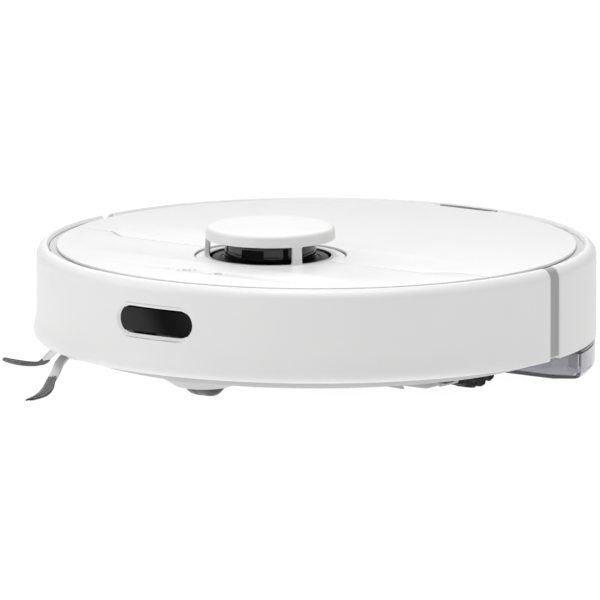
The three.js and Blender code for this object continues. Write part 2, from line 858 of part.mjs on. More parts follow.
// The main brush: a core with fins that twist outwards from its middle.
function mainBrush() {
  const fins = 6;
  const outline = [];
  for (let i = 0; i < fins; i++) {
    const a = (i * 360) / fins;
    outline.push(...arc(0, 0, 10, a - 22, a - 9, 1));
    outline.push(...arc(0, 0, BRUSH.r, a - 3.5, a + 3.5, 1));
    outline.push(...arc(0, 0, 10, a + 9, a + 22, 1));
  }
  const shape = new THREE.Shape(outline.map(([y, z]) => new THREE.Vector2(y, z)));
  const geometry = new THREE.ExtrudeGeometry(shape, {
    depth: 2 * BRUSH.half - 4,
    steps: 6,
    bevelEnabled: false,
  });
  geometry.translate(0, 0, -BRUSH.half + 2);
  const at = geometry.attributes.position;
  for (let i = 0; i < at.count; i++) {
    const turn = Math.abs(at.getZ(i)) * 0.9 * RADIAN;
    const [x, y] = [at.getX(i), at.getY(i)];
    at.setXY(i, x * Math.cos(turn) - y * Math.sin(turn), x * Math.sin(turn) + y * Math.cos(turn));
  }
  geometry.rotateY(Math.PI / 2);
  geometry.translate(0, BRUSH.y, BRUSH.z);
  return join(
    solid(geometry),
    rodX(12, -BRUSH.half, -BRUSH.half + 3, BRUSH.y, BRUSH.z, MEDIUM),
    rodX(12, BRUSH.half - 3, BRUSH.half, BRUSH.y, BRUSH.z, MEDIUM),
    rodX(4, BRUSH.half - 1, 82.8, BRUSH.y, BRUSH.z),
  );
}
piece("main_brush", mainBrush(), RUBBER);
const coverPlate = box(
  -MOUTH.half + GAP,
  MOUTH.half - GAP,
  MOUTH.y0 + GAP,
  MOUTH.y1 - GAP,
  BASE_Z - 0.6,
  BASE_Z + BASE_T,
);
piece(
  "brush_cover",
  cut(
    coverPlate,
    box(-BRUSH.half - 0.8, BRUSH.half + 0.8, MOUTH.y0 + 2.4, MOUTH.y1 - 2.4, 0, 20),
  ),
  GREY,
);

piece(
  "blower_housing",
  cut(
    latheY(
      [[0, BAY.back + GAP], [BLOWER.r, BAY.back + GAP], [BLOWER.r, 121], [0, 121]],
      BLOWER.x,
      BLOWER.z,
    ),
    latheY([[0, 100], [BLOWER.r - WALL, 100], [BLOWER.r - WALL, 119.4], [0, 119.4]], BLOWER.x, BLOWER.z),
    latheY([[0, 90], [12, 90], [12, 101], [0, 101]], BLOWER.x, BLOWER.z, SMALL),
    latheY([[0, 118], [2.4, 118], [2.4, 123], [0, 123]], BLOWER.x, BLOWER.z, 12),
    box(BLOWER.x - 7, BLOWER.x + 7, 103, 117, BLOWER.z + 10, BLOWER.z + 30),
  ),
  BLACK,
);
const impellerDisc = latheY([[0, 113.4], [18, 113.4], [18, 115], [0, 115]], BLOWER.x, BLOWER.z);
const impellerHub = latheY([[0, 104], [5, 104], [5, 115], [0, 115]], BLOWER.x, BLOWER.z, SMALL);
const impellerShaft = latheY([[0, 112], [2, 112], [2, 124], [0, 124]], BLOWER.x, BLOWER.z, 12);
const blades = [];
for (let i = 0; i < 8; i++) {
  const geometry = new THREE.BoxGeometry(14, 10, 1);
  geometry.translate(10.6, 108.8, 0);
  geometry.rotateY((i * Math.PI) / 4);
  geometry.translate(BLOWER.x, 0, BLOWER.z);
  blades.push(solid(geometry));
}
piece("impeller", join(impellerDisc, impellerHub, impellerShaft, ...blades), PALE);
piece(
  "blower_motor",
  cut(
    latheY([[0, 121.4], [13, 121.4], [13, 143], [0, 143]], BLOWER.x, BLOWER.z, MEDIUM),
    latheY([[0, 120], [2.4, 120], [2.4, 125], [0, 125]], BLOWER.x, BLOWER.z, 12),
  ),
  METAL,
);

// ---- Electronics inside -------------------------------------------------------------------------
piece("main_board", box(-64, 26, -146, -98, 62, 63.6), BOARD);
piece("battery_pack", box(BATTERY.x0, BATTERY.x1, BATTERY.y0, BATTERY.y1, 15, BATTERY.z1), CELL);
piece("sensor_module", box(-24, 24, -162.6, -150, 46, 61), BLACK);
for (const [name, side] of [["bumper_switch_left", 1], ["bumper_switch_right", -1]]) {
  const [x, y] = around(152, side * 52);
  piece(name, box(x - 6, x + 6, y - 8, y + 8, 40, 50), BLACK);
}

// ---- Drive wheels on their suspension arms ------------------------------------------------------
function tyreOutline() {
  const outline = [];
  const pitch = 360 / WHEEL.lugs;
  for (let i = 0; i < WHEEL.lugs; i++) {
    const a = i * pitch;
    outline.push(...arc(0, 0, WHEEL.r, a - pitch * 0.2, a + pitch * 0.2, 1));
    outline.push(...arc(0, 0, WHEEL.root, a + pitch * 0.32, a + pitch * 0.68, 1));
  }
  return outline;
}

const AXLE_Z = WHEEL.r; // lugs touch the floor
const TYRE_INNER = 27;
const wheelInner = WHEEL.face - WHEEL.width;
const lugTurn = (outline) => {
  const turn = -90 * RADIAN;
  return outline.map(([y, z]) => [
    WHEEL.y + y * Math.cos(turn) - z * Math.sin(turn),
    AXLE_Z + y * Math.sin(turn) + z * Math.cos(turn),
  ]);
};
const tyre = slabX(lugTurn(tyreOutline()), wheelInner, WHEEL.face, [
  lugTurn(arc(0, 0, TYRE_INNER, 0, 360 - 360 / MEDIUM, MEDIUM - 1)),
]);
const HUB_R = TYRE_INNER - GAP;
const hub = latheX(
  [
    [0, wheelInner - 6],
    [4, wheelInner - 6],
    [4, wheelInner + 1],
    [HUB_R, wheelInner + 1],
    [HUB_R, WHEEL.face - 0.8],
    [HUB_R - 2.6, WHEEL.face - 0.8],
    [HUB_R - 4, WHEEL.face - 5],
    [9, WHEEL.face - 5],
    [8, WHEEL.face - 1.4],
    [0, WHEEL.face - 1.4],
  ],
  WHEEL.y,
  AXLE_Z,
);
const armX = [90.6, wheelInner - 0.8];
const armOutline = [
  ...arc(WHEEL.y, AXLE_Z, 17, -110, 80, 8),
  ...arc(-14, 42, 12, 80, 110, 2),
  ...arc(ARM_PIVOT.y + 8, ARM_PIVOT.z, 8, 110, 250, 6),
];
const arm = cut(
  join(
    slabX(armOutline, ...armX),
    rodX(ARM_PIN_R, PIVOT_POST.x0 + 0.4, armX[0] + 1, ARM_PIVOT.y, ARM_PIVOT.z),
    slabX([...arc(ARM_PIVOT.y, ARM_PIVOT.z, 6, 0, 330, 11)], armX[0], armX[0] + 6),
  ),
  rodX(4.4, wheelInner - 7, wheelInner + 1, WHEEL.y, AXLE_Z),
);
const MOTOR = { y: -10, z: 41, r: 8.6 };
const gearMotor = rodX(MOTOR.r, 64, armX[0] - GAP, MOTOR.y, MOTOR.z);
const SPRING = { x: 97, y: -12, r: 4.4, low: 55.2, high: 73.6 };
const spring = cut(
  disc(SPRING.r, SPRING.low, SPRING.high, SPRING.x, SPRING.y, 16),
  disc(SPRING.r - 1.6, 0, 90, SPRING.x, SPRING.y, 12),
);
for (const [side, same] of [["left", true], ["right", false]]) {
  const place = (body) => (same ? body : mirrored(body));
  piece("tyre_" + side, place(tyre), RUBBER);
  piece("wheel_hub_" + side, place(hub), GREY);
  piece("suspension_arm_" + side, place(arm), BLACK);
  piece("drive_motor_" + side, place(gearMotor), METAL);
  piece("suspension_spring_" + side, place(spring), METAL);
}

// ---- Front caster -------------------------------------------------------------------------------
const casterWheelY = CASTER.y + CASTER.trail;
const casterHalf = CASTER.width / 2;
const cup = lathe(
  [
    [0, 7],
    [17.6, 7],
    [19.2, 8],
    [27.4, 13.2],
    [27.4, 16.4],
    [22.6, 16.4],
    [22.6, 38.4],
    [5, 38.4],
    [5, 50],
    [0, 50],
  ],
  MEDIUM,
  0,
  CASTER.y,
);
const axleZ = CASTER.r;
piece(
  "caster_cup",
  cut(
    cup,
    rodX(CASTER.r + 0.9, -casterHalf - 0.7, casterHalf + 0.7, casterWheelY, axleZ, MEDIUM),
    box(
      -casterHalf - 0.7,
      casterHalf + 0.7,
      casterWheelY - CASTER.r + 2.2,
      casterWheelY + CASTER.r - 2.2,
      0,
      axleZ,
    ),
    rodX(2.3, -11.5, 11.5, casterWheelY, axleZ, 12),
  ),
  PALE,
);
piece(
  "caster_wheel",
  latheX(
    [
      [2.3, -casterHalf + 1],
      [12, -casterHalf + 1],
      [CASTER.r - 1.6, -casterHalf],
      [CASTER.r, -casterHalf + 2],
      [CASTER.r, casterHalf - 2],
      [CASTER.r - 1.6, casterHalf],
      [12, casterHalf - 1],
      [2.3, casterHalf - 1],
    ],
    casterWheelY,
    axleZ,
  ),
  RUBBER,
);
piece("caster_axle", rodX(2, -11, 11, casterWheelY, axleZ, 12), METAL);
piece(
  "caster_socket",
  lathe(
    [
      [29.4, 16.8],
      [29.4, 41],
      [9, 41],
      [9, 50],
      [5.3, 50],
      [5.3, 39],
      [28, 39],
      [28, 16.8],
    ],
    MEDIUM,
    0,
    CASTER.y,
  ),
  PALE,
);

// ---- Side brush ---------------------------------------------------------------------------------
// A flat strip through stations out from the brush's axis, each with its sideways lean and its height.
function strip(turn, stations) {
  const geometry = new THREE.BoxGeometry(1, 1, 1, stations.length - 1, 1, 1);
  const at = geometry.attributes.position;
  for (let i = 0; i < at.count; i++) {
    const s = stations[Math.round((at.getX(i) + 0.5) * (stations.length - 1))];
    at.setXYZ(i, s.r, s.lean + Math.sign(at.getY(i)) * s.half, at.getZ(i) > 0 ? s.high : s.low);
  }
  geometry.rotateZ(turn * RADIAN);
  geometry.translate(SIDE_BRUSH.x, SIDE_BRUSH.y, 0);
  return solid(geometry);
}

// An arm slopes down from the hub towards the floor.
const ARM_STATIONS = [
  { r: 8, lean: 0, low: 16.6, high: 19.2, half: 4 },
  { r: 22, lean: 0, low: 14.6, high: 16.8, half: 3.7 },
  { r: 35, lean: 0, low: 9.4, high: 11.4, half: 3.4 },
  { r: SIDE_BRUSH.arm, lean: 0, low: 7, high: 9, half: 3 },
];
// A tuft lies out along the floor from the arm's end, bending a little as it goes.
const TUFT_STATIONS = [
  { r: SIDE_BRUSH.arm + GAP, lean: 0, low: 7, high: 8.8, half: 3 },
  { r: 56, lean: 0.2, low: 4.6, high: 6.6, half: 3.2 },
  { r: 70, lean: 0.8, low: 1.4, high: 3.4, half: 3 },
  { r: SIDE_BRUSH.tip, lean: 2, low: 0.4, high: 1.2, half: 1.6 },
];
const turns = [0, 1, 2].map((i) => SIDE_BRUSH.turn + i * 120);
piece(
  "side_brush_hub",
  join(
    lathe(
      [[0, 12.6], [6, 12.6], [9.5, 14.2], [9.5, 19.6], [4, 19.6], [4, 26], [0, 26]],
      MEDIUM,
      SIDE_BRUSH.x,
      SIDE_BRUSH.y,
    ),
    ...turns.map((turn) => strip(turn, ARM_STATIONS)),
  ),
  PALE,
);
turns.forEach((turn, i) => piece("bristle_tuft_" + (i + 1), strip(turn, TUFT_STATIONS), GREY));
piece(
  "side_brush_motor",
  cut(
    join(
      disc(7, 22.9, 25, SIDE_BRUSH.x, SIDE_BRUSH.y),
      disc(14, 24.6, 31, SIDE_BRUSH.x, SIDE_BRUSH.y),
      disc(12, 30, 46, SIDE_BRUSH.x + 5, SIDE_BRUSH.y + 5),
    ),
    disc(4.6, 20, 26.6, SIDE_BRUSH.x, SIDE_BRUSH.y, SMALL),
  ),
  BLACK,
);

// ---- Water tank ---------------------------------------------------------------------------------
const TANK_WALL = 2;
const TANK_SEAM_Z = 19; // where the tray's rim meets its welded top
const TANK_INSIDE_R = TANK.r - TANK_WALL;

// The tank's outline at one inset from its outer face: straight in front, clipped corners, round behind.
function tankOutline(inset, r) {
  const corner = [151 - inset, TANK.front + inset];
  const start = Math.asin((47 + inset * 0.4) / r) / RADIAN;
  return [[-corner[0], corner[1]], [corner[0], corner[1]], ...arc(0, 0, r, start, 180 - start, 30)];
}
const tankOuter = slab(tankOutline(0, TANK.r), TANK.bottom, TANK_SEAM_Z).intersect(
  lathe(
    [
      [0, TANK.bottom],
      [162, TANK.bottom],
      [167, 4.4],
      [170.4, 8.4],
      [TANK.r, 15],
      [TANK.r, TANK.top],
      [0, TANK.top],
    ],
    FINE,
  ),
);
const tankInner = slab(
  tankOutline(TANK_WALL, TANK_INSIDE_R),
  TANK.bottom + TANK_WALL,
  TANK.top,
).intersect(
  lathe(
    [
      [0, 4],
      [160.6, TANK.bottom + TANK_WALL],
      [165.6, 6.4],
      [168.4, 9.4],
      [TANK_INSIDE_R, 15],
      [TANK_INSIDE_R, TANK.top],
      [0, TANK.top],
    ],
    FINE,
  ),
);
const FILL = { x: 0, y: 100, r: 13 };
const RELEASE = { half: 20, z0: 9, z1: 17, y0: 166.4 };
const releaseRoom = box(-RELEASE.half - 3, RELEASE.half + 3, 160, 180, TANK.bottom, TANK.top);
const releaseCut = box(
  -RELEASE.half - GAP,
  RELEASE.half + GAP,
  RELEASE.y0 - 2.4,
  180,
  RELEASE.z0 - GAP,
  RELEASE.z1 + GAP,
);
const tankRib = box(-1, 1, 60, 80, TANK.bottom + 1, TANK_SEAM_Z);
piece(
  "water_tank",
  cut(join(cut(tankOuter, cut(tankInner, releaseRoom)), tankRib), releaseCut),
  CLEAR,
);
piece(
  "tank_top",
  cut(
    slab(tankOutline(0, TANK.r), TANK_SEAM_Z + GAP, TANK.top),
    disc(FILL.r, 15, 30, FILL.x, FILL.y),
  ),
  CLEAR,
);
piece(
  "tank_cap",
  disc(FILL.r - GAP, TANK.top - 2.4, TANK.top, FILL.x, FILL.y),
  BLACK,
);
piece(
  "tank_release",
  disc(TANK.r, RELEASE.z0, RELEASE.z1, 0, 0, FINE).intersect(
    box(-RELEASE.half, RELEASE.half, RELEASE.y0, 180, 0, 30),
  ),
  PALE,
);

// ---- Origin -------------------------------------------------------------------------------------
const bounds = new THREE.Box3().setFromObject(robot);
const middle = bounds.getCenter(new THREE.Vector3());
robot.position.set(-middle.x, -middle.y, -bounds.min.z);

const root = new THREE.Group();
root.add(robot);
export default root;
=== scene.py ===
# Robot vacuum: the fine surface and the finishes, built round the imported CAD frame.
# Shapes are drawn in millimetres about the body's centre on the floor, +Z up, front towards -Y, as the
# CAD source draws them, and become metres in the frame's own axes when a piece is made.
import json
import math

import bmesh
import bpy
import numpy as np
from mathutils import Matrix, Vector
from mathutils.geometry import tessellate_polygon


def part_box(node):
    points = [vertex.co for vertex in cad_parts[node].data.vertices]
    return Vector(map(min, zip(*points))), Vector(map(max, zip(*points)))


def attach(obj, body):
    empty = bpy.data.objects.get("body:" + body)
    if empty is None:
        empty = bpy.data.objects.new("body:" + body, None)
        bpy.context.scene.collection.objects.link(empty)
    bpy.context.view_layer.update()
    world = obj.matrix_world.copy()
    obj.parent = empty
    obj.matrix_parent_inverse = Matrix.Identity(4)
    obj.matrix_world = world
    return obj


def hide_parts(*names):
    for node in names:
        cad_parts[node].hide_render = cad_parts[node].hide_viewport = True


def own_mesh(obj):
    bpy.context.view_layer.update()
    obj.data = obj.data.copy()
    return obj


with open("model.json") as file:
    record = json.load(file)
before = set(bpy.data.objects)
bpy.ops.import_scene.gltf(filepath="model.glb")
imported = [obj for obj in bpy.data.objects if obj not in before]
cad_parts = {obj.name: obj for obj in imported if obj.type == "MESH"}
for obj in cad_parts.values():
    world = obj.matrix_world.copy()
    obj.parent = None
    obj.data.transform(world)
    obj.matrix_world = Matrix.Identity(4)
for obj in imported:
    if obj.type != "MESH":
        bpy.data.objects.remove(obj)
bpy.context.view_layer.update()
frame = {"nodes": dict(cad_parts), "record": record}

MM = 0.001

# ---- Driving dimensions, in millimetres ----
BODY_R = 173.2
FLARE_R = 175.0
FRAME_R = 168.0
COVER_R = 160.7
RIM_Z = 78.8
COVER_Z = 78.4
COVER_T = 1.7
DECK_Z = 76.2
BASE_Z = 12.0
WALL_T = 2.4
GAP = 0.3
BUMPER_HALF = 91.7
HOUSING_HALF = 95.2
HOUSING_Z = 21.6
LIDAR_Y = -49.0
LIDAR_R = 40.2
LIDAR_HOLE_R = 47.1
LIDAR_TOP_Z = 96.8
SPLIT_Y = -50.0
SPLIT_GAP = 1.3
HINGE_Y = -55.2
HINGE_Z = 74.2
PILL_Z = 53.5
BUTTON_Y = -124.5
WHEEL_R = 36.0
WHEEL_FACE = 122.3
WHEEL_WIDTH = 20.0
WHEEL_Y = 2.0
CASTER_Y = -120.0
CASTER_R = 17.5
BRUSH_X = -96.0
BRUSH_Y = -115.0
BRUSH_TURN = 163.0
TANK_FRONT = 39.2
TANK_R = 172.6
TANK_BOTTOM = 2.8
TANK_TOP = 21.2
WINDOW_HALF_DEGREES = 10.5
WINDOW_LOW_Z, WINDOW_HIGH_Z = 43, 64
WINDOW_CORE = 18.45
WINDOW_CORNER = 8.25

turret_low, turret_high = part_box("lidar_turret")
CENTRE = Vector(((turret_low.x + turret_high.x) / 2, (turret_low.y + turret_high.y) / 2 - LIDAR_Y * MM, 0))


# ---- Shapes: a shape is (points, faces), with points in millimetres ----
def merge(*shapes):
    points, faces, start = [], [], 0
    for p, f in shapes:
        points.append(np.asarray(p, float))
        faces += [tuple(i + start for i in face) for face in f]
        start += len(p)
    return np.vstack(points), faces


def moved(shape, x=0.0, y=0.0, z=0.0):
    return np.asarray(shape[0], float) + (x, y, z), shape[1]


def turned(shape, degrees, axis="Z", about=(0, 0, 0)):
    a = math.radians(degrees)
    i, j = {"X": (1, 2), "Y": (2, 0), "Z": (0, 1)}[axis]
    p = np.asarray(shape[0], float) - about
    q = p.copy()
    q[:, i] = p[:, i] * math.cos(a) - p[:, j] * math.sin(a)
    q[:, j] = p[:, i] * math.sin(a) + p[:, j] * math.cos(a)
    return q + about, shape[1]


def mirrored(shape):
    return np.asarray(shape[0], float) * (-1, 1, 1), [tuple(reversed(f)) for f in shape[1]]


SIDES = {"left": lambda shape: shape, "right": mirrored}


def arc(cx, cy, r, start, stop, steps):
    return [
        (cx + r * math.cos(a), cy + r * math.sin(a))
        for a in np.radians(np.linspace(start, stop, steps + 1))
    ]


def rounded(points, radius, steps=4):
    """A closed outline with its corners rounded. radius is one number or one for each corner."""
    radii = radius if hasattr(radius, "__len__") else [radius] * len(points)
    made = []
    for i, (p, r) in enumerate(zip(points, radii)):
        if r <= 0:
            made.append(tuple(p))
            continue
        p = Vector(p)
        before = (Vector(points[i - 1]) - p).normalized()
        after = (Vector(points[(i + 1) % len(points)]) - p).normalized()
        half = before.angle(after) / 2
        reach = r / math.tan(half)
        centre = p + (before + after).normalized() * (r / math.sin(half))
        a, b = p + before * reach - centre, p + after * reach - centre
        turn = a.angle_signed(b)
        for k in range(steps + 1):
            t = -turn * k / steps
            made.append(
                (
                    centre.x + a.x * math.cos(t) - a.y * math.sin(t),
                    centre.y + a.x * math.sin(t) + a.y * math.cos(t),
                )
            )
    return made


def flowing(knots, at):
    """A smooth line through (x, y) knots, read at the x values in at."""
    x, y = np.array(knots, float).T
    slope = np.diff(y) / np.diff(x)
    m = np.zeros(len(x))
    m[1:-1] = np.where(slope[1:] * slope[:-1] > 0, (slope[1:] + slope[:-1]) / 2, 0)
    m[0], m[-1] = slope[0], slope[-1]
    at = np.clip(at, x[0], x[-1])
    k = np.clip(np.searchsorted(x, at) - 1, 0, len(x) - 2)
    h = x[k + 1] - x[k]
    t = (at - x[k]) / h
    return (
        (1 + 2 * t) * (1 - t) ** 2 * y[k]
        + t * (1 - t) ** 2 * h * m[k]
        + t * t * (3 - 2 * t) * y[k + 1]
        + t * t * (t - 1) * h * m[k + 1]
    )


def spun(profile, steps=96, axis="Z", about=(0, 0, 0)):
    """A profile of (radius, height) turned a full turn. It closes on itself or ends on the axis twice."""
    profile = np.array(profile, float)
    n = len(profile)
    open_ended = profile[0][0] < 1e-9 and profile[-1][0] < 1e-9
    angles = np.radians(np.linspace(0, 360, steps, endpoint=False))
    r, h = profile[:, 0], profile[:, 1]
    s, c = np.sin(angles)[:, None], np.cos(angles)[:, None]
    across, along, height = r * s, r * c, np.broadcast_to(h, (steps, n))
    stacked = {
        "Z": (across, -along, height),
        "X": (height, across, along),
        "Y": (across, height, along),
    }[axis]
    points = np.stack(stacked, -1).reshape(-1, 3) + about
    faces = []
    for i in range(steps):
        j = (i + 1) % steps
        for k in range(n - 1 if open_ended else n):
            l = (k + 1) % n
            if r[k] < 1e-9 and r[l] < 1e-9:
                continue
            if r[k] < 1e-9:
                faces.append((i * n, i * n + l, j * n + l))
            elif r[l] < 1e-9:
                faces.append((i * n + k, i * n + l, j * n + k))
            else:
                faces.append((i * n + k, i * n + l, j * n + l, j * n + k))
    return points, faces


def bands(rings, n, start=0, closed=False):
    """Faces between rings of n points each, laid one after another from start."""
    faces = []
    for k in range(rings if closed else rings - 1):
        here, there = start + k * n, start + (k + 1) % rings * n
        for i in range(n):
            l = (i + 1) % n
            faces.append((here + i, here + l, there + l, there + i))
    return faces


def capped(loops):
    """Triangles that fill the first loop of 3-D points, less the others."""
    return [tuple(t) for t in tessellate_polygon([[Vector(p) for p in loop] for loop in loops])]


def inset(outline, distance):
    """The outline moved inwards, for an outline that runs anticlockwise."""
    p = np.array(outline, float)
    edge = np.roll(p, -1, 0) - p
    edge /= np.linalg.norm(edge, axis=1)[:, None]
    normal = np.stack([-edge[:, 1], edge[:, 0]], -1)
    before = np.roll(normal, 1, 0)
    corner = (before + normal) / (1 + (before * normal).sum(1))[:, None]
    return p + corner * distance


def anticlockwise(outline):
    x, y = np.array(outline, float).T
    area = (x * np.roll(y, -1) - np.roll(x, -1) * y).sum()
    return list(outline) if area > 0 else list(reversed(outline))


def prism(outline, levels, holes=(), axis="Z"):
    """An outline stood up through levels of (inset, height). Along X its points are (y, z)."""
    loops = [anticlockwise(outline)] + [list(reversed(anticlockwise(h))) for h in holes]
    points, faces, ends = [], [], [[], []]
    for loop in loops:
        start, n = len(points), len(loop)
        for k, (distance, height) in enumerate(levels):
            ring = [(x, y, height) for x, y in inset(loop, distance)]
            points += ring
            if k in (0, len(levels) - 1):
                ends[0 if k == 0 else 1].append((start + k * n, ring))
        faces += bands(len(levels), n, start)
    for side, rings in enumerate(ends):
        index = [first + i for first, ring in rings for i in range(len(ring))]
        for t in capped([ring for _, ring in rings]):
            face = tuple(index[i] for i in t)
            faces.append(face if side else tuple(reversed(face)))
    points = np.array(points, float)
    if axis == "X":
        points = points[:, [2, 0, 1]]
    if axis == "Y":
        points = points[:, [0, 2, 1]]
        faces = [tuple(reversed(f)) for f in faces]
    return points, faces


def soft_levels(low, high, edge, steps=3):
    """Levels for prism from low to high, with both rims rounded by edge."""
    turn = [math.radians(90 * k / steps) for k in range(steps + 1)]
    lower = [(edge * (1 - math.sin(a)), low + edge * (1 - math.cos(a))) for a in turn]
    upper = [(edge * (1 - math.cos(a)), high - edge * (1 - math.sin(a))) for a in turn]
    return lower + upper


def rectangle(x0, x1, y0, y1):
    return [(x0, y0), (x1, y0), (x1, y1), (x0, y1)]


def block(x0, x1, y0, y1, z0, z1, corner=0.6, edge=0.3):
    return prism(rounded(rectangle(x0, x1, y0, y1), corner, 3), soft_levels(z0, z1, edge, 2))


def brick(x0, x1, y0, y1, z0, z1):
    """A plain cutting tool."""
    return prism(rectangle(x0, x1, y0, y1), [(0, z0), (0, z1)])


def post(r, low, high, axis, about, steps, edge):
    """A round post along an axis, with its rims rounded by edge."""
    profile = rectangle(0, r, low, high)
    if edge:
        profile = rounded(profile, [0, edge, edge, 0], 3)
    return spun(profile, steps, axis, about)


def disc(r, z0, z1, x=0.0, y=0.0, steps=48, edge=0.0):
    return post(r, z0, z1, "Z", (x, y, 0), steps, edge)


def rod(r, x0, x1, y, z, steps=32, edge=0.0):
    return post(r, x0, x1, "X", (0, y, z), steps, edge)


def stadium(cx, cy, width, height, steps=12):
    r = min(width, height) / 2
    reach = abs(width - height) / 2
    if width >= height:
        return arc(cx + reach, cy, r, -90, 90, steps) + arc(cx - reach, cy, r, 90, 270, steps)
    return arc(cx, cy + reach, r, 0, 180, steps) + arc(cx, cy - reach, r, 180, 360, steps)


def swept(path, section):
    """Rings of section(k), points across and up, along a path of 3-D points that never stands upright."""
    path = [Vector(p) for p in path]
    points = []
    n = len(section(0))
    for k, p in enumerate(path):
        ahead = (path[min(k + 1, len(path) - 1)] - path[max(k - 1, 0)]).normalized()
        side = ahead.cross(Vector((0, 0, 1))).normalized()
        up = side.cross(ahead)
        points += [tuple(p + side * a + up * b) for a, b in section(k)]
    faces = bands(len(path), n)
    last = (len(path) - 1) * n
    faces.append(tuple(range(n)))
    faces.append(tuple(last + i for i in reversed(range(n))))
    return np.array(points, float), faces


def in_scene(name, data):
    made = bpy.data.objects.new(name, data)
    bpy.context.scene.collection.objects.link(made)
    return made


def as_object(shape):
    mesh = bpy.data.meshes.new("shape")
    mesh.from_pydata(np.asarray(shape[0], float).tolist(), [], [list(f) for f in shape[1]])
    bm = bmesh.new()
    bm.from_mesh(mesh)
    bmesh.ops.remove_doubles(bm, verts=bm.verts, dist=1e-4)
    bmesh.ops.recalc_face_normals(bm, faces=bm.faces)
    bm.to_mesh(mesh)
    bm.free()
    return in_scene("shape", mesh)


def boolean(shape, tools, operation):
    base = as_object(shape)
    others = [as_object(tool) for tool in tools]
    for other in others:
        modifier = base.modifiers.new("boolean", "BOOLEAN")
        modifier.operation = operation
        modifier.solver = "MANIFOLD"
        modifier.object = other
    evaluated = base.evaluated_get(bpy.context.evaluated_depsgraph_get())
    mesh = evaluated.to_mesh()
    points = np.array([v.co for v in mesh.vertices], float).reshape(-1, 3)
    faces = [tuple(p.vertices) for p in mesh.polygons]
    evaluated.to_mesh_clear()
    for o in [base, *others]:
        data = o.data
        bpy.data.objects.remove(o)
        bpy.data.meshes.remove(data)
    return points, faces


def cut(shape, *tools):
    return boolean(shape, tools, "DIFFERENCE")


def fused(shape, *others):
    return boolean(shape, others, "UNION")


def common(shape, *others):
    return boolean(shape, others, "INTERSECT")


def piece(name, shape, material, body, replaces=(), sharp=32.0):
    mesh = bpy.data.meshes.new(name)
    at = np.asarray(shape[0], float) * MM + np.array(CENTRE)
    mesh.from_pydata(at.tolist(), [], [list(f) for f in shape[1]])
    bm = bmesh.new()
    bm.from_mesh(mesh)
    bmesh.ops.remove_doubles(bm, verts=bm.verts, dist=1e-6)
    bmesh.ops.dissolve_degenerate(bm, dist=1e-7, edges=bm.edges)
    bmesh.ops.recalc_face_normals(bm, faces=bm.faces)
    for face in bm.faces:
        face.smooth = True
    for edge in bm.edges:
        edge.smooth = edge.is_manifold and edge.calc_face_angle(0.0) < math.radians(sharp)
    bm.to_mesh(mesh)
    bm.free()
    mesh.materials.append(material)
    made = in_scene(name, mesh)
    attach(made, body)
    if replaces:
        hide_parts(*replaces)
    return made


# ---- Materials ----
def node(tree, kind, **inputs):
    """A shader node with its inputs set to values, or linked where the value is another node's output."""
    made = tree.nodes.new("ShaderNode" + kind)
    for name, value in inputs.items():
        socket = made.inputs[name.replace("_", " ")]
        if isinstance(value, bpy.types.NodeSocket):
            tree.links.new(value, socket)
        else:
            socket.default_value = value
    return made


def noise(tree, scale, detail, stretch):
    """A noise value over the object's own coordinates, in metres."""
    source = node(tree, "TexCoord").outputs["Object"]
    if stretch:
        source = node(tree, "Mapping", Scale=stretch, Vector=source).outputs["Vector"]
    return node(tree, "TexNoise", Scale=scale, Detail=detail, Vector=source).outputs["Fac"]


def spread(tree, value, low, high):
    """The middle of the noise's range, spread from low to high."""
    limits = {"From_Min": 0.3, "From_Max": 0.7, "To_Min": low, "To_Max": high}
    return node(tree, "MapRange", Value=value, **limits).outputs["Result"]


def blended(tree, value, first, second):
    made = tree.nodes.new("ShaderNodeMix")
    made.data_type = "RGBA"
    made.inputs["A"].default_value = (*first, 1)
    made.inputs["B"].default_value = (*second, 1)
    tree.links.new(value, made.inputs["Factor"])
    return made.outputs["Result"]


PATCHES = 260.0


def finish(
    name, colour, other, roughness, mottle=18, grain=2200, bump=0.05, depth=0.00004, stretch=None, **settings
):
    """Colour that drifts between two shades, a roughness that varies, and a fine grain in the surface."""
    material = bpy.data.materials.new(name)
    material.use_nodes = True
    tree = material.node_tree
    shader = tree.nodes["Principled BSDF"]
    drift = spread(tree, noise(tree, mottle, 3.0, stretch), 0.0, 1.0)
    tree.links.new(blended(tree, drift, colour, other), shader.inputs["Base Color"])
    rough = spread(tree, noise(tree, PATCHES, 3.0, stretch), *roughness)
    tree.links.new(rough, shader.inputs["Roughness"])
    relief = node(tree, "Bump", Strength=bump, Distance=depth, Height=noise(tree, grain, 2.0, stretch))
    tree.links.new(relief.outputs["Normal"], shader.inputs["Normal"])
    for key, value in settings.items():
        shader.inputs[key.replace("_", " ").title().replace("Ior", "IOR")].default_value = value
    return material


WHITE = finish("white_moulding", (0.86, 0.86, 0.855), (0.84, 0.84, 0.838), (0.36, 0.46), bump=0.08)
COVER = finish("satin_cover", (0.86, 0.86, 0.858), (0.84, 0.84, 0.838), (0.3, 0.4), bump=0.05)
PALE = finish("pale_moulding", (0.61, 0.61, 0.61), (0.58, 0.58, 0.58), (0.42, 0.55), bump=0.1)
UNDER = finish("underside_grey", (0.47, 0.47, 0.472), (0.44, 0.44, 0.442), (0.42, 0.55), bump=0.12)
GREY = finish("grey_moulding", (0.24, 0.245, 0.25), (0.21, 0.215, 0.22), (0.4, 0.55), bump=0.12)
DARK = finish("black_moulding", (0.016, 0.016, 0.018), (0.024, 0.024, 0.026), (0.3, 0.45), bump=0.1)
coat = {"coat_weight": 0.4, "coat_roughness": 0.03}
GLOSS = finish("gloss_black", (0.006, 0.006, 0.008), (0.01, 0.01, 0.012), (0.03, 0.07), bump=0.01, **coat)
soft = {"mottle": 60, "grain": 1600, "bump": 0.3, "depth": 0.0001, "specular_ior_level": 0.3}
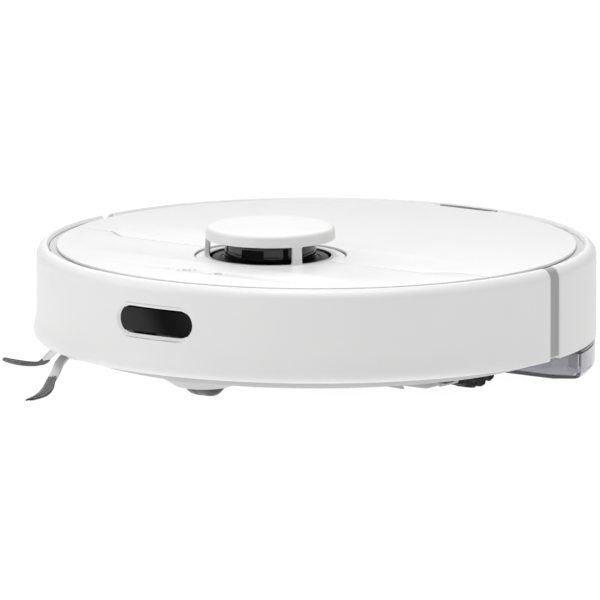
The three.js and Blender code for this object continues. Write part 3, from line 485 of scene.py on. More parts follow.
RUBBER = finish("rubber", (0.007, 0.007, 0.008), (0.016, 0.016, 0.017), (0.5, 0.7), **soft)
drawn = {"stretch": (1, 12, 12), "grain": 900, "bump": 0.06, "metallic": 1.0}
STEEL = finish("plain_steel", (0.56, 0.57, 0.59), (0.5, 0.51, 0.53), (0.22, 0.36), **drawn)
CONTACT = finish(
    "plated_contact", (0.78, 0.7, 0.5), (0.72, 0.64, 0.45), (0.14, 0.26), bump=0.05, metallic=1.0
)
FILTER = finish(
    "filter_paper", (0.78, 0.79, 0.75), (0.7, 0.71, 0.67), (0.8, 0.95), grain=1400, bump=0.4, depth=0.0002
)
BOARD = finish(
    "circuit_board", (0.02, 0.11, 0.055), (0.015, 0.085, 0.045), (0.3, 0.5), mottle=400, bump=0.1
)
CELL = finish("battery_wrap", (0.05, 0.14, 0.32), (0.045, 0.12, 0.28), (0.25, 0.4), bump=0.1)
BRISTLE = finish(
    "nylon_bristle", (0.03, 0.03, 0.032), (0.2, 0.2, 0.205), (0.35, 0.5), mottle=1500, grain=3000, bump=0.1
)
STRAP = finish("soft_strap", (0.7, 0.7, 0.7), (0.62, 0.62, 0.625), (0.45, 0.6), mottle=90, bump=0.12)
# Grey for the split, the finger notch and the bumper's end gaps: painted shade where those gaps and hollows
# lie in shadow.
SHADE_GREY = finish("painted_shade_grey", (0.4, 0.4, 0.405), (0.37, 0.37, 0.375), (0.4, 0.5), bump=0.1)
ROLL = finish("grey_roll", (0.07, 0.07, 0.072), (0.11, 0.11, 0.112), (0.35, 0.5), mottle=60, bump=0.15)
CELL_PALE = finish("tank_cell", (0.93, 0.93, 0.95), (0.88, 0.88, 0.9), (0.3, 0.45), bump=0.1)
ICON = finish("printed_grey", (0.3, 0.31, 0.33), (0.25, 0.26, 0.28), (0.4, 0.5), mottle=500)
clear = {"transmission_weight": 0.93, "ior": 1.42}
SMOKE = finish("smoky_clear", (0.66, 0.66, 0.7), (0.62, 0.62, 0.66), (0.04, 0.09), bump=0.02, **clear)
HOLLOW = finish(
    "unlit_hollow", (0.004, 0.004, 0.004), (0.007, 0.007, 0.007), (0.5, 0.7), specular_ior_level=0.15
)


# The window's colour carries a painted reflection: a band that lightens and darkens along the lens, on a
# slant.
REFLECTION_LENGTH = 0.054
REFLECTION_SLANT = 0.5
REFLECTION_STOPS = [(0.0, 0.034), (0.34, 0.028), (0.52, 0.008), (0.62, 0.001), (0.78, 0.0015), (1.0, 0.01)]


def painted_reflection_glass():
    """Black glass with a painted reflection: its colour lightens and darkens along the window, on a slant."""
    black = (0.01, 0.01, 0.01)
    glass = finish("window_glass", black, black, (0.05, 0.1), bump=0.01, specular_ior_level=0.07)
    tree = glass.node_tree
    place = node(tree, "TexCoord").outputs["Object"]
    start = REFLECTION_LENGTH / 2 - CENTRE.x - PILL_Z * MM * REFLECTION_SLANT
    mapping = node(tree, "Mapping", Location=(start / REFLECTION_LENGTH, 0, 0), Scale=(1 / REFLECTION_LENGTH, 0, 0))
    tree.links.new(place, mapping.inputs["Vector"])
    along = node(tree, "SeparateXYZ", Vector=mapping.outputs["Vector"]).outputs["X"]
    slant = tree.nodes.new("ShaderNodeMath")
    slant.operation = "MULTIPLY_ADD"
    tree.links.new(node(tree, "SeparateXYZ", Vector=place).outputs["Z"], slant.inputs[0])
    slant.inputs[1].default_value = REFLECTION_SLANT / REFLECTION_LENGTH
    tree.links.new(along, slant.inputs[2])
    ramp = node(tree, "ValToRGB", Fac=slant.outputs["Value"])
    elements = ramp.color_ramp.elements
    for at, _ in REFLECTION_STOPS[1:-1]:
        elements.new(at)
    for stop, (at, value) in zip(elements, REFLECTION_STOPS):
        stop.position, stop.color = at, (value, value, value, 1)
    tree.links.new(ramp.outputs["Color"], tree.nodes["Principled BSDF"].inputs["Base Color"])
    return glass


WINDOW = painted_reflection_glass()

SLOT_LOOKS = {
    "white_shell": WHITE,
    "pale_plastic": PALE,
    "grey_plastic": GREY,
    "black_plastic": DARK,
    "gloss_black": GLOSS,
    "rubber": RUBBER,
    "bristle": BRISTLE,
    "steel": STEEL,
    "contact_metal": CONTACT,
    "clear_tank": SMOKE,
    "filter_paper": FILTER,
    "circuit_board": BOARD,
    "battery_wrap": CELL,
}
for row in frame["record"]["subparts"]:
    data = frame["nodes"][row["node"]].data
    data.materials.clear()
    data.materials.append(SLOT_LOOKS[row["material_slot"]])


# ---- Outer wall ----
LOW_KNOTS = [(21, 172.6), (22.6, 174.1), (25.6, FLARE_R), (28.5, 174.7), (32, 173.9), (36, 173.4)]
LOW_KNOTS += [(42, BODY_R), (71.8, BODY_R)]
RIM = arc(BODY_R - 7, RIM_Z - 7, 7, 0, 80, 10)
LIP = [(166.9, 78.6), (166.5, 78.2), (165.75, 77.0), (165.6, 76.7)]
INNER_R = BODY_R - WALL_T
END_ROUND = 0.7
END_DEGREES = 1.2
FLARE_FROM, FLARE_TO = 52.0, 84.0


def wall_radius(z):
    return flowing(LOW_KNOTS, z)


def without_flare(shape):
    """The wall with its foot's flare fading out towards the bumper's ends."""
    points = shape[0].copy()
    x, y, z = points.T
    r = np.hypot(x, y)
    turn = np.degrees(np.arctan2(np.abs(x), -y))
    t = np.clip((turn - FLARE_FROM) / (FLARE_TO - FLARE_FROM), 0, 1)
    fade = t * t * (3 - 2 * t)
    extra = np.maximum(wall_radius(z) - BODY_R, 0) * (r > INNER_R + 0.3) * (z < 56)
    points[:, 0] *= 1 - fade * extra / r
    points[:, 1] *= 1 - fade * extra / r
    return points, shape[1]


def ringed(outline, grown, core, corner):
    """Points of a rounded hole's edge nearest to the outline's. core is half the hole less its corner."""
    p = np.array(outline, float)
    middle = np.clip(p, (-core[0], -core[1]), core)
    away = p - middle
    away /= np.linalg.norm(away, axis=1)[:, None]
    return middle + away * (corner + grown)


def pierced(sections, angles, holes=(), rings=(), radius=wall_radius, closed=False):
    """A wall turned through angles, one closed section for each, with rounded holes right through it.
    A hole is (first and last angle, first and last outer row, first and last inner row, core, corner).
    rings are (growth, depth) from the hole's outer edge inwards, and radius gives the outside's radius."""
    m, n = len(angles), len(sections[0])
    radial = np.radians(angles)
    sections = np.array(sections, float)
    r, z = sections[:, :, 0], sections[:, :, 1]
    points = np.stack([r * np.sin(radial)[:, None], -r * np.cos(radial)[:, None], z], -1)
    points = points.reshape(-1, 3).tolist()
    skipped = set()
    faces = []
    for i0, i1, j0, j1, back0, back1, core, corner in holes:
        middle = radial[i0 : i1 + 1].mean()
        z_middle = (z[i0, j0] + z[i0, j1]) / 2
        for i in range(i0, i1):
            skipped |= {(i, j) for j in range(j0, j1)} | {(i, j) for j in range(back1, back0)}
        loops = []
        for rows in (range(j0, j1 + 1), range(back0, back1 - 1, -1)):
            border = [(i, rows[0]) for i in range(i0, i1 + 1)]
            border += [(i1, j) for j in rows[1:]]
            border += [(i, rows[-1]) for i in range(i1 - 1, i0 - 1, -1)]
            border += [(i0, j) for j in rows[-2:0:-1]]
            loops.append(border)
        scale = r[i0, j0]
        flat = [((radial[i] - middle) * scale, z[i, j] - z_middle) for i, j in loops[0]]
        layers = [[i * n + j for i, j in loops[0]]]

        def add(ring, depth, inner=False):
            layers.append(list(range(len(points), len(points) + len(ring))))
            for u, v in ring:
                a = middle + u / scale
                height = z_middle + v
                out = r[i0, back0] if inner else float(radius(height)) - depth
                points.append((out * math.sin(a), -out * math.cos(a), height))

        edge = ringed(flat, rings[0][0], core, corner)
        for share in (0.35, 0.7, 1.0):
            add(np.array(flat) * (1 - share) + edge * share, 0)
        for growth, depth in rings[1:]:
            add(ringed(flat, growth, core, corner), depth)
        add(ringed(flat, rings[-1][0], core, corner), 0, True)
        layers.append([i * n + j for i, j in loops[1]])
        for a, b in zip(layers, layers[1:]):
            for k in range(len(flat)):
                l = (k + 1) % len(flat)
                faces.append((a[k], a[l], b[l], b[k]))
    for i in range(m if closed else m - 1):
        for j in range(n):
            if (i, j) not in skipped:
                i2, j2 = (i + 1) % m, (j + 1) % n
                faces.append((i * n + j, i2 * n + j, i2 * n + j2, i * n + j2))
    if not closed:
        for i in (0, m - 1):
            for t in capped([[(p, q, 0.0) for p, q in sections[i]]]):
                faces.append(tuple(i * n + k for k in t))
    return np.array(points), faces


def with_ends(angles, section, thick):
    """Angles and sections of a wall whose ends are thicker and have rounded edges."""
    x, y = np.array(thick, float).T
    sign = 1 if (x * np.roll(y, -1) - np.roll(x, -1) * y).sum() > 0 else -1
    turn = math.degrees(END_ROUND / BODY_R)
    shrink = [(1.0, 0.0), (0.5, turn * 0.13), (0.13, turn * 0.5), (0.0, turn)]
    ends = [(step, inset(thick, k * END_ROUND * sign)) for k, step in shrink]
    ends.append((END_DEGREES, np.array(thick, float)))
    first, last = angles[0], angles[-1]
    low, high = first + END_DEGREES, last - END_DEGREES
    inner = [low + 0.03] + [a for a in angles if low + 0.05 <= a <= high - 0.05] + [high - 0.03]
    made = [(first + step, part) for step, part in ends]
    made += [(a, np.array(section, float)) for a in inner]
    made += [(last - step, part) for step, part in reversed(ends)]
    return [a for a, _ in made], [part for _, part in made]


window_lines = np.linspace(WINDOW_LOW_Z, WINDOW_HIGH_Z, 15)
BUMPER_LINES = sorted({*np.arange(23.5, 43, 1.5), *window_lines, *np.arange(65.5, 71, 1.6), 71.4})
BUMPER_LOWER = [(170.95, 22.0), (171.1, 21.4), (171.6, 21.05), (172.3, 21.0), (173.1, 21.5), (173.9, 22.4)]


def row_of(section, z, outer=True):
    """The index of the section's point at that height, on its outer or its inner face."""
    order = range(len(section)) if outer else range(len(section) - 1, -1, -1)
    return min(order, key=lambda k: abs(section[k][1] - z) + 50 * ((section[k][0] > INNER_R + 1) != outer))


def rows_of(section, low, high):
    return [row_of(section, z, outer) for outer in (True, False) for z in (low, high)]


def nearest(values, wanted):
    return min(range(len(values)), key=lambda i: abs(values[i] - wanted))


def rounded_angles(first, last, count):
    return {round(float(a), 4) for a in np.linspace(first, last, count)}


def wall_sections(outside, lines, ledge_z, foot_z):
    """The wall's closed section where it is thin, and at its ends, where it reaches in to the frame."""
    made = []
    for inner, shelf in ((INNER_R, (168.8, 170.2, 74.2)), (FRAME_R + GAP, (168.5, 168.45, 74.6))):
        top = [(165.7, ledge_z), (shelf[0], ledge_z), (shelf[1], shelf[2])]
        down = [(inner, z) for z in reversed(lines)]
        made.append(outside + RIM + LIP + top + down + [(inner, foot_z)])
    return made


def bumper_shape():
    half = WINDOW_HALF_DEGREES
    outside = BUMPER_LOWER + [(float(wall_radius(z)), z) for z in BUMPER_LINES]
    sections = wall_sections(outside, BUMPER_LINES, 76.5, 22.6)
    angles = rounded_angles(-half, half, 29)
    angles |= rounded_angles(-BUMPER_HALF, -half, 109) | rounded_angles(half, BUMPER_HALF, 109)
    angles, made = with_ends(sorted(angles), *sections)
    rows = rows_of(sections[0], WINDOW_LOW_Z, WINDOW_HIGH_Z)
    span = nearest(angles, -half), nearest(angles, half)
    hole = (*span, *rows, (WINDOW_CORE, 0.0), WINDOW_CORNER)
    rings = [(2.7, 0), (2.45, 0.06), (2.2, 0.25), (0.8, 1.5), (0.5, 1.65), (0.3, 1.75)]
    return without_flare(pierced(made, angles, [hole], rings))


piece("bumper_shell", bumper_shape(), WHITE, "bumper", ["bumper"])


SLOTS, SLOT_PITCH = 12, 3.0
SLOT_LOW_Z, SLOT_HIGH_Z = 36, 60
SLOT_STEPS = 4


def housing_shape():
    slot_lines = np.linspace(SLOT_LOW_Z, SLOT_HIGH_Z, 17)
    lines = sorted({*np.arange(23.1, 36, 1.5), *slot_lines, *np.arange(61.5, 71, 1.6), 71.4})
    outside = [(171.1, HOUSING_Z), (172.6, HOUSING_Z), (BODY_R, HOUSING_Z + 0.6)]
    outside += [(BODY_R, z) for z in lines]
    sections = wall_sections(outside, lines, DECK_Z + 0.05, HOUSING_Z + 0.3)
    first, last = 180 - SLOTS * SLOT_PITCH / 2, 180 + SLOTS * SLOT_PITCH / 2
    angles = rounded_angles(first, last, SLOTS * SLOT_STEPS + 1)
    angles |= rounded_angles(HOUSING_HALF, first, 90) | rounded_angles(last, 360 - HOUSING_HALF, 90)
    angles, made = with_ends(sorted(angles), *sections)
    rows = rows_of(sections[0], SLOT_LOW_Z, SLOT_HIGH_Z)
    starts = [nearest(angles, first + k * SLOT_PITCH) for k in range(SLOTS)]
    holes = [(i, i + SLOT_STEPS, *rows, (0.0, 7.9), 2.1) for i in starts]
    rings = [(0.35, 0), (0.2, 0.05), (0.05, 0.2), (0.0, 0.4)]
    return pierced(made, angles, holes, rings)


piece("housing_shell", housing_shape(), WHITE, "chassis", ["rear_housing"])


# ---- Top covers ----
BEND_FROM, BEND_TO, BEND_RISE = 110.0, 132.0, 12.5
FINGER_HALF = 21.0
FINGER_Y = 157.4
COVER_EDGE = 0.55
COVER_LEVELS = [(0.25, COVER_Z - COVER_T), (0, COVER_Z - COVER_T + 0.25)]
for a in np.radians([0, 25, 50, 72, 90]):
    COVER_LEVELS.append((COVER_EDGE * (1 - math.cos(a)), COVER_Z - COVER_EDGE * (1 - math.sin(a))))


def split_half(offset):
    """The split between the covers on the robot's left, from the lidar's hole out to the covers' edge."""
    reach = math.sqrt(LIDAR_HOLE_R**2 - (SPLIT_Y + offset - LIDAR_Y) ** 2)
    line = [(reach, SPLIT_Y + offset)]
    for t in np.linspace(0, 1, 17):
        x = BEND_FROM + (BEND_TO - BEND_FROM) * t
        line.append((x, SPLIT_Y + BEND_RISE * t * t * (3 - 2 * t) + offset))
    end = SPLIT_Y + BEND_RISE + offset
    line.append((math.sqrt(COVER_R**2 - end**2), end))
    return line


def around_lidar(offset, rear):
    y = SPLIT_Y + offset - LIDAR_Y
    angle = math.degrees(math.asin(y / LIDAR_HOLE_R))
    if rear:
        return arc(0, LIDAR_Y, LIDAR_HOLE_R, 180 - angle, angle, 72)
    return arc(0, LIDAR_Y, LIDAR_HOLE_R, 180 - angle, 360 + angle, 72)


def cover_outline(offset, rear):
    """The front or the rear cover from above. The rear one has the finger notch."""
    right = split_half(offset)
    left = [(-x, y) for x, y in reversed(right)]
    edge = math.degrees(math.asin(right[-1][1] / COVER_R))
    inside = left[:-1] + around_lidar(offset, rear)[:-1] + right[:-1]
    if not rear:
        return inside + arc(0, 0, COVER_R, edge, -180 - edge, 200)[:-1]
    notch = math.degrees(math.acos(FINGER_HALF / COVER_R))
    x, y = FINGER_HALF, COVER_R - 1.4
    tray = rounded([(x, y), (x, FINGER_Y), (-x, FINGER_Y), (-x, y)], [0, 1.2, 1.2, 0], 4)
    first = arc(0, 0, COVER_R, edge, notch, 100)
    second = arc(0, 0, COVER_R, 180 - notch, 180 - edge, 100)
    return inside + first + tray[1:-1] + second[:-1]


BUTTONS = {"power": -9.4, "home": 14.6}
button_holes = [arc(x, BUTTON_Y, 5.5, 0, 352.5, 47) for x in BUTTONS.values()]
front = prism(cover_outline(-SPLIT_GAP / 2, False), COVER_LEVELS, button_holes)
piece("front_cover_skin", front, COVER, "chassis", ["front_cover"])

ARM_X0, ARM_X1 = 94.8, 98.8
# A grey strip on the deck under the split between the covers: painted shade that darkens the split line.
split_shade = prism(split_half(-0.42) + split_half(0.42)[::-1], [(0, DECK_Z), (0, DECK_Z + 0.45)])
split_shade = cut(split_shade, brick(ARM_X0 - 0.6, ARM_X1 + 0.6, -52, -48, 76, 79))
piece("split_shade_strip", merge(split_shade, mirrored(split_shade)), SHADE_GREY, "chassis")


def hinge_arm():
    """The lid's gooseneck: pin, drop, bar under the split and riser to the lid."""
    bar = HINGE_Z - 6.3
    pin, lid_z = HINGE_Z + 1, COVER_Z - COVER_T + 0.4
    outline = [(-2.2, pin), (-2.2, bar), (10.6, bar), (10.6, lid_z), (8.4, lid_z)]
    outline += [(8.4, bar + 2), (2.2, bar + 2), (2.2, pin)]
    outline = [(HINGE_Y + y, z) for y, z in outline]
    outline = rounded(outline, [1.6, 1.5, 2.0, 0, 0, 0.8, 0.8, 1.6], 5)
    arm = prism(outline, soft_levels(ARM_X0, ARM_X1, 0.3, 2), axis="X")
    return fused(arm, rod(1.4, 92.0, 101.6, HINGE_Y, HINGE_Z, 24, 0.3))


lid = prism(cover_outline(SPLIT_GAP / 2, True), COVER_LEVELS)
lid = fused(lid, hinge_arm(), mirrored(hinge_arm()))
piece("lid_skin", lid, COVER, "lid", ["lid"])


def thin(outline, base, height, holes=()):
    return prism(outline, [(0, base), (0, base + height)], holes)


BUTTON_TOP = COVER_Z - 0.1
for name, x in BUTTONS.items():
    profile = [(0, 68), (2.4, 68), (2.4, 76.9), (5.2, 76.9), (5.2, BUTTON_TOP - 0.45), (4.75, BUTTON_TOP)]
    profile += [(3.9, BUTTON_TOP - 0.04), (2.2, BUTTON_TOP - 0.14), (0, BUTTON_TOP - 0.18)]
    cap = spun(rounded(profile, [0, 0.3, 0, 0.2, 0.25, 0.2, 0, 0, 0], 3), 64, "Z", (x, BUTTON_Y, 0))
    piece(name + "_button_cap", cap, COVER, name + "_button", [name + "_button"])


def ring_arc(x, y, outer, inner, start, stop):
    return arc(x, y, outer, start, stop, 32) + arc(x, y, inner, stop, start, 32)


ICON_Z = BUTTON_TOP - 0.2
power_x, home_x = BUTTONS.values()
power_icon = merge(
    thin(ring_arc(power_x, BUTTON_Y, 2.7, 2.2, 125, 415), ICON_Z, 0.2),
    thin(stadium(power_x, BUTTON_Y + 2.2, 0.5, 2.2), ICON_Z, 0.2),
)
piece("power_icon", power_icon, ICON, "power_button")
roof = [(-3, 0.2), (0, 2.8), (3, 0.2), (2.6, -0.1), (0, 2.15), (-2.6, -0.1)]
walls = [(-2.1, 0.1), (-2.1, -2.3), (2.1, -2.3), (2.1, 0.1)]
walls += [(1.65, 0.1), (1.65, -1.85), (-1.65, -1.85), (-1.65, 0.1)]
home_icon = merge(
    thin([(home_x + x, BUTTON_Y + y) for x, y in roof], ICON_Z, 0.2),
    thin([(home_x + x, BUTTON_Y + y) for x, y in walls], ICON_Z, 0.2),
)
piece("home_icon", home_icon, ICON, "home_button")
light = disc(0.55, COVER_Z - 0.3, COVER_Z + 0.03, -22, -126.5, 24, 0.03)
piece("status_light", light, ICON, "chassis")


# ---- Sensor window ----
def window_shape():
    """A lens that follows the bumper's curve behind its bezel."""
    outline = np.array(stadium(0, 0, 53.4, 16.5, 28)) * 1.5
    n = len(outline)
    points = []
    for growth, depth in [(0.75, 2.35), (0.75, 1.55), (-3, 1.55), (-8.2, 1.55)]:
        r = BODY_R - depth
        for u, v in ringed(outline, growth, np.array((WINDOW_CORE, 0.0)), WINDOW_CORNER):
            a = u / BODY_R
            points.append((r * math.sin(a), -r * math.cos(a), PILL_Z + v))
    faces = bands(len(points) // n, n)
    for start in (0, len(points) - n):
        ring = [(x, z, 0.0) for x, _, z in points[start : start + n]]
        faces += [tuple(start + i for i in t) for t in capped([ring])]
    return np.array(points), faces


piece("window_lens", window_shape(), WINDOW, "bumper", ["sensor_window"])


# ---- Lidar tower ----
PILLARS = (-60.0, 60.0, 180.0)
PILLAR_HALF = 3.6
SILL_Z = 78.0
WINDOW_FOOT_Z, WINDOW_HEAD_Z = SILL_Z - 0.15, 89.1


def cap_radius(z):
    """The cap narrows a little towards its top."""
    return LIDAR_R + 0.5 - 0.9 * (z - SILL_Z) / (94 - SILL_Z)


def lidar_cover_shape():
    """Skirt, wall with three windows, and crown, in one closed section turned all the way round."""
    inner = LIDAR_R - 2.6
    lines = [WINDOW_FOOT_Z, *np.linspace(SILL_Z + 0.3, 88.2, 11), 88.6, WINDOW_HEAD_Z, 90.3]
    outer = [(45.3, 76.6), (45.75, 76.75), (45.9, 77.0), (45.6, 77.2), (44.6, 77.3), (43.2, 77.4)]
    outer += [(42.2, 77.5), (41.4, 77.6), (40.9, 77.7)]
    outer += [(cap_radius(z), z) for z in lines]
    crown = arc(LIDAR_R - 3.0, 94.0, 2.6, 0, 62, 6)
    crown += [(36.2, 96.48), (33.5, 96.68), (28, 96.76), (14, LIDAR_TOP_Z), (0.0, LIDAR_TOP_Z)]
    under = [(0.0, 90.6), (20, 90.6), (inner - 0.6, 90.6)]
    back = [(inner, z) for z in reversed(lines)] + [(38.6, 77.7), (38.8, 77.5), (38.8, 76.6)]
    section = outer + crown + under + back
    rows = [[z for _, z in outer].index(z) for z in (WINDOW_FOOT_Z, WINDOW_HEAD_Z)]
    before_back = len(section) - len(back)
    rows += [before_back + [z for _, z in back].index(z) for z in (WINDOW_FOOT_Z, WINDOW_HEAD_Z)]
    angles, holes = [], []
    for pillar in PILLARS:
        start, stop = pillar + PILLAR_HALF, pillar + 120 - PILLAR_HALF
        first = len(angles)
        angles += [start + step for step in (-0.6, 0, 0.4, 0.9, 1.5, 2.4)]
        angles += list(np.linspace(start + 5, stop - 5, 30))
        angles += [stop + step for step in (-2.4, -1.5, -0.9, -0.4, 0, 0.6)]
        half, tall = math.radians((stop - start) / 2) * LIDAR_R, (88.95 - SILL_Z) / 2
        holes.append((first, len(angles) - 1, *rows, (half - 1.3, tall - 1.3), 1.3))
        angles += list(np.linspace(stop + 2, stop + 6, 3))
    rings = [(0.12, 0), (0.04, 0.05), (0, 0.14), (0, 0.3)]
    return pierced([section] * len(angles), angles, holes, rings, cap_radius, closed=True)


cover = moved(lidar_cover_shape(), 0, LIDAR_Y)
piece("lidar_cover_skin", cover, WHITE, "lidar_cover", ["lidar_cover"])

base_profile = [(3.3, 66.6), (34, 66.6), (35.8, 68), (35.8, 77.2), (31, 77.2), (30.4, 76.6), (3.3, 76.6)]
base = spun(rounded(base_profile, [0.2, 0.6, 0.6, 0.4, 0.3, 0.3, 0.2], 3), 128, "Z", (0, LIDAR_Y, 0))
piece("lidar_base_tray", base, DARK, "chassis", ["lidar_base"])

turret_profile = [(0, 60.4), (11.2, 60.4), (12, 60.8), (12, 61.3), (11.4, 61.6), (11.4, 64.4)]
turret_profile += [(12, 64.7), (12, 65.6), (3, 65.6), (3, 77.7), (28, 77.7), (28.8, 78.5)]
turret_profile += [(28.8, 79.2), (28.3, 79.4), (28.3, 85.7), (28.8, 85.9), (28.8, 86.3), (28.0, 87.0)]
turret_profile += [(26.5, 87.2), (0, 87.2)]
EYE_TURN = 12.0


def eye_block(half, z0, z1, corner, levels):
    """A rounded block in the turret's side, through levels of (inset, distance ahead of its axis)."""
    outline = rounded(rectangle(-half, half, z0, z1), corner, 4)
    made = prism(outline, [(narrower, LIDAR_Y - ahead) for narrower, ahead in levels], axis="Y")
    return turned(made, EYE_TURN, "Z", (0, LIDAR_Y, 0))


turret = spun(turret_profile, 128, "Z", (0, LIDAR_Y, 0))
turret = cut(turret, eye_block(7.4, 78.9, 85.2, 1.2, [(0, 31), (0, 25.6)]))
piece("lidar_turret_drum", turret, GLOSS, "lidar_turret", ["lidar_turret"])
pane = eye_block(7.1, 79.2, 84.9, 1.0, [(0.2, 26.6), (0, 26.2), (0, 25.7)])
piece("lidar_eye", pane, HOLLOW, "lidar_turret")


def wall_strip(r0, r1, first, last, z0, z1, steps=12, edge=0.15):
    """A piece of round wall between two angles, measured from the front towards the robot's left."""
    outline = [
        (r * math.sin(math.radians(a)), -r * math.cos(math.radians(a)))
        for r, span in ((r1, (first, last)), (r0, (last, first)))
        for a in np.linspace(*span, steps + 1)
    ]
    return prism(outline, soft_levels(z0, z1, edge, 2))


# A dark grey wall in the finger notch, under the housing's rim: painted shade, where the notch's side lies in
# shadow.
notch_shade_wall = wall_strip(164.9, 165.9, 172.6, 187.4, DECK_Z + 0.02, 77.9, 24, 0.1)
piece("notch_shade_wall", notch_shade_wall, SHADE_GREY, "chassis")


# ---- Soft grey strips in the gaps between bumper and housing: painted shade, where the recessed gaps lie in shadow ----
STRIP_R = BODY_R - 1.0
strip_section = [(STRIP_R, z) for z in np.linspace(23.4, RIM_Z - 7, 12)]
strip_section += arc(BODY_R - 7, RIM_Z - 7, 6, 8, 80, 9)
strip_section += [(167.2, DECK_Z + 0.4), (FRAME_R + 0.4, DECK_Z + 0.4), (FRAME_R + 0.4, 23.4)]
low_section = [(STRIP_R, z) for z in np.linspace(23.4, 73, 12)]
low_section += [(FRAME_R + 0.4, 73.4), (FRAME_R + 0.4, 23.4)]
strip_angles = np.linspace(BUMPER_HALF + 0.12, HOUSING_HALF - 0.08, 7)
full_strip, low_strip = (pierced([part] * 7, strip_angles) for part in (strip_section, low_section))
for side, shape in (("left", full_strip), ("right", mirrored(low_strip))):
    made = piece("gap_shade_strip_" + side, shape, SHADE_GREY, "chassis")
    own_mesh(made)


# ---- Water tank ----
TANK_SEAM = 19.0
RELEASE_HALF = 20.0


def lofted(rings):
    """A closed shape through rings of equally many points, with both ends filled."""
    n = len(rings[0])
    points = [tuple(p) for ring in rings for p in ring]
    faces = bands(len(rings), n)
    last = (len(rings) - 1) * n
    faces += [tuple(reversed(t)) for t in capped([rings[0]])]
    faces += [tuple(last + i for i in t) for t in capped([rings[-1]])]
    return np.array(points), faces


def tank_ring(z, edge, front, wall=0.0):
    """The tank's outline at a height. edge and front say how far its round and straight sides stand in."""
    r = TANK_R - edge - wall
    y = TANK_FRONT + front + wall
    x = 151 - wall - front * 0.5
    start = math.degrees(math.asin((47 + 0.4 * wall + front) / r))
    corner = (r * math.cos(math.radians(start)), r * math.sin(math.radians(start)))
    round_side = arc(0, 0, r, start + 2.2, 177.8 - start, 96)
    outline = [(-x, y), (x, y), corner, *round_side, (-corner[0], corner[1])]
    soft = 2.6 - wall * 0.5
    radii = [soft, soft, soft] + [0] * len(round_side) + [soft]
    return [(a, b, z) for a, b in rounded(outline, radii, 5)]


TRAY_OUTSIDE = [(TANK_BOTTOM, 4.4, 2.2), (2.95, 3.2, 1.2), (3.6, 1.8, 0.75), (4.6, 0.9, 0.6)]
TRAY_OUTSIDE += [(5.6, 0.5, 0.5), (5.9, 0.3, 0.1), (6.3, 0.2, 0.0), (8.4, 0.0, 0.0), (15.0, 0.0, 0.0)]
TRAY_OUTSIDE += [(TANK_SEAM - 0.35, 0.0, 0.0), (TANK_SEAM, 0.25, 0.25)]
TRAY_INSIDE = [(TANK_SEAM, 0.0, 0.0), (11.0, 0.0, 0.0), (7.6, 0.3, 0.4), (5.2, 2.4, 1.6), (4.8, 5.0, 3.0)]
tray = lofted(
    [tank_ring(*level) for level in TRAY_OUTSIDE] + [tank_ring(*level, wall=2.0) for level in TRAY_INSIDE]
)
catch_room = RELEASE_HALF + GAP
tray = cut(tray, brick(-catch_room, catch_room, 164.4, 180, 9 - GAP, 17 + GAP))
for x in (-96, -48, 48, 96):
    tray = fused(tray, block(x - 1, x + 1, 43, 58, 4, TANK_SEAM - 1, 0.4, 0.3))
tray = fused(tray, block(-1, 1, 60, 80, 4, TANK_SEAM - 1, 0.4, 0.3))
piece("tank_tray", tray, SMOKE, "water_tank", ["water_tank"])

lid_rings = [(TANK_SEAM + GAP, 0.25), (TANK_SEAM + GAP + 0.25, 0.0)]
lid_rings += [(TANK_TOP - 0.3, 0.0), (TANK_TOP, 0.3)]
tank_lid = lofted([tank_ring(z, edge, edge) for z, edge in lid_rings])
tank_lid = cut(tank_lid, disc(13, 15, 30, 0, 100, 64))
piece("tank_lid", tank_lid, SMOKE, "water_tank", ["tank_top"])

# Pale plates stand just behind the clear wall at the tank's two front corners.
CORNER = ((151.0, 39.2), (166.0, 47.0))


def corner_plate(first, last):
    """A plate along the tank's clipped corner, between two shares of its length."""
    (x0, y0), (x1, y1) = CORNER
    length = math.hypot(x1 - x0, y1 - y0)
    across = ((y0 - y1) / length, (x1 - x0) / length)
    outline = []
    for share, back in ((first, 2.1), (last, 2.1), (last, 3.9), (first, 3.9)):
        outline.append((x0 + (x1 - x0) * share + across[0] * back, y0 + (y1 - y0) * share + across[1] * back))
    return prism(outline, soft_levels(6.6, 18.2, 0.3, 2))


plates = {
    "front": corner_plate(0.54, 0.82),
    "rear": wall_strip(168.4, 170.4, 106.4, 111.4, 6.8, 18.2, 8, 0.4),
}
for name, plate in plates.items():
    for side, flip in SIDES.items():
        piece(f"tank_plate_{name}_{side}", flip(plate), CELL_PALE, "water_tank")

cap_profile = [(0, -2.4), (12.7, -2.4), (12.7, 0), (9.6, 0), (9.2, -0.8), (0, -0.8)]
cap_profile = rounded([(r, TANK_TOP + z) for r, z in cap_profile], [0, 0.3, 0.4, 0.2, 0.2, 0], 3)
cap = spun(cap_profile, 64, "Z", (0, 100, 0))
cap = fused(cap, block(-9.4, 9.4, 99, 101, TANK_TOP - 1.2, TANK_TOP, 0.3, 0.3))
piece("tank_stopper", cap, DARK, "water_tank", ["tank_cap"])

release = wall_strip(166.6, TANK_R - 0.1, 180 - 6.55, 180 + 6.55, 9, 17, 24, 0.5)
grooves = [brick(x - 0.5, x + 0.5, TANK_R - 0.9, TANK_R + 2, 10.5, 15.5) for x in np.arange(-12, 12.1, 3)]
piece("tank_catch", cut(release, *grooves), PALE, "tank_release", ["tank_release"])


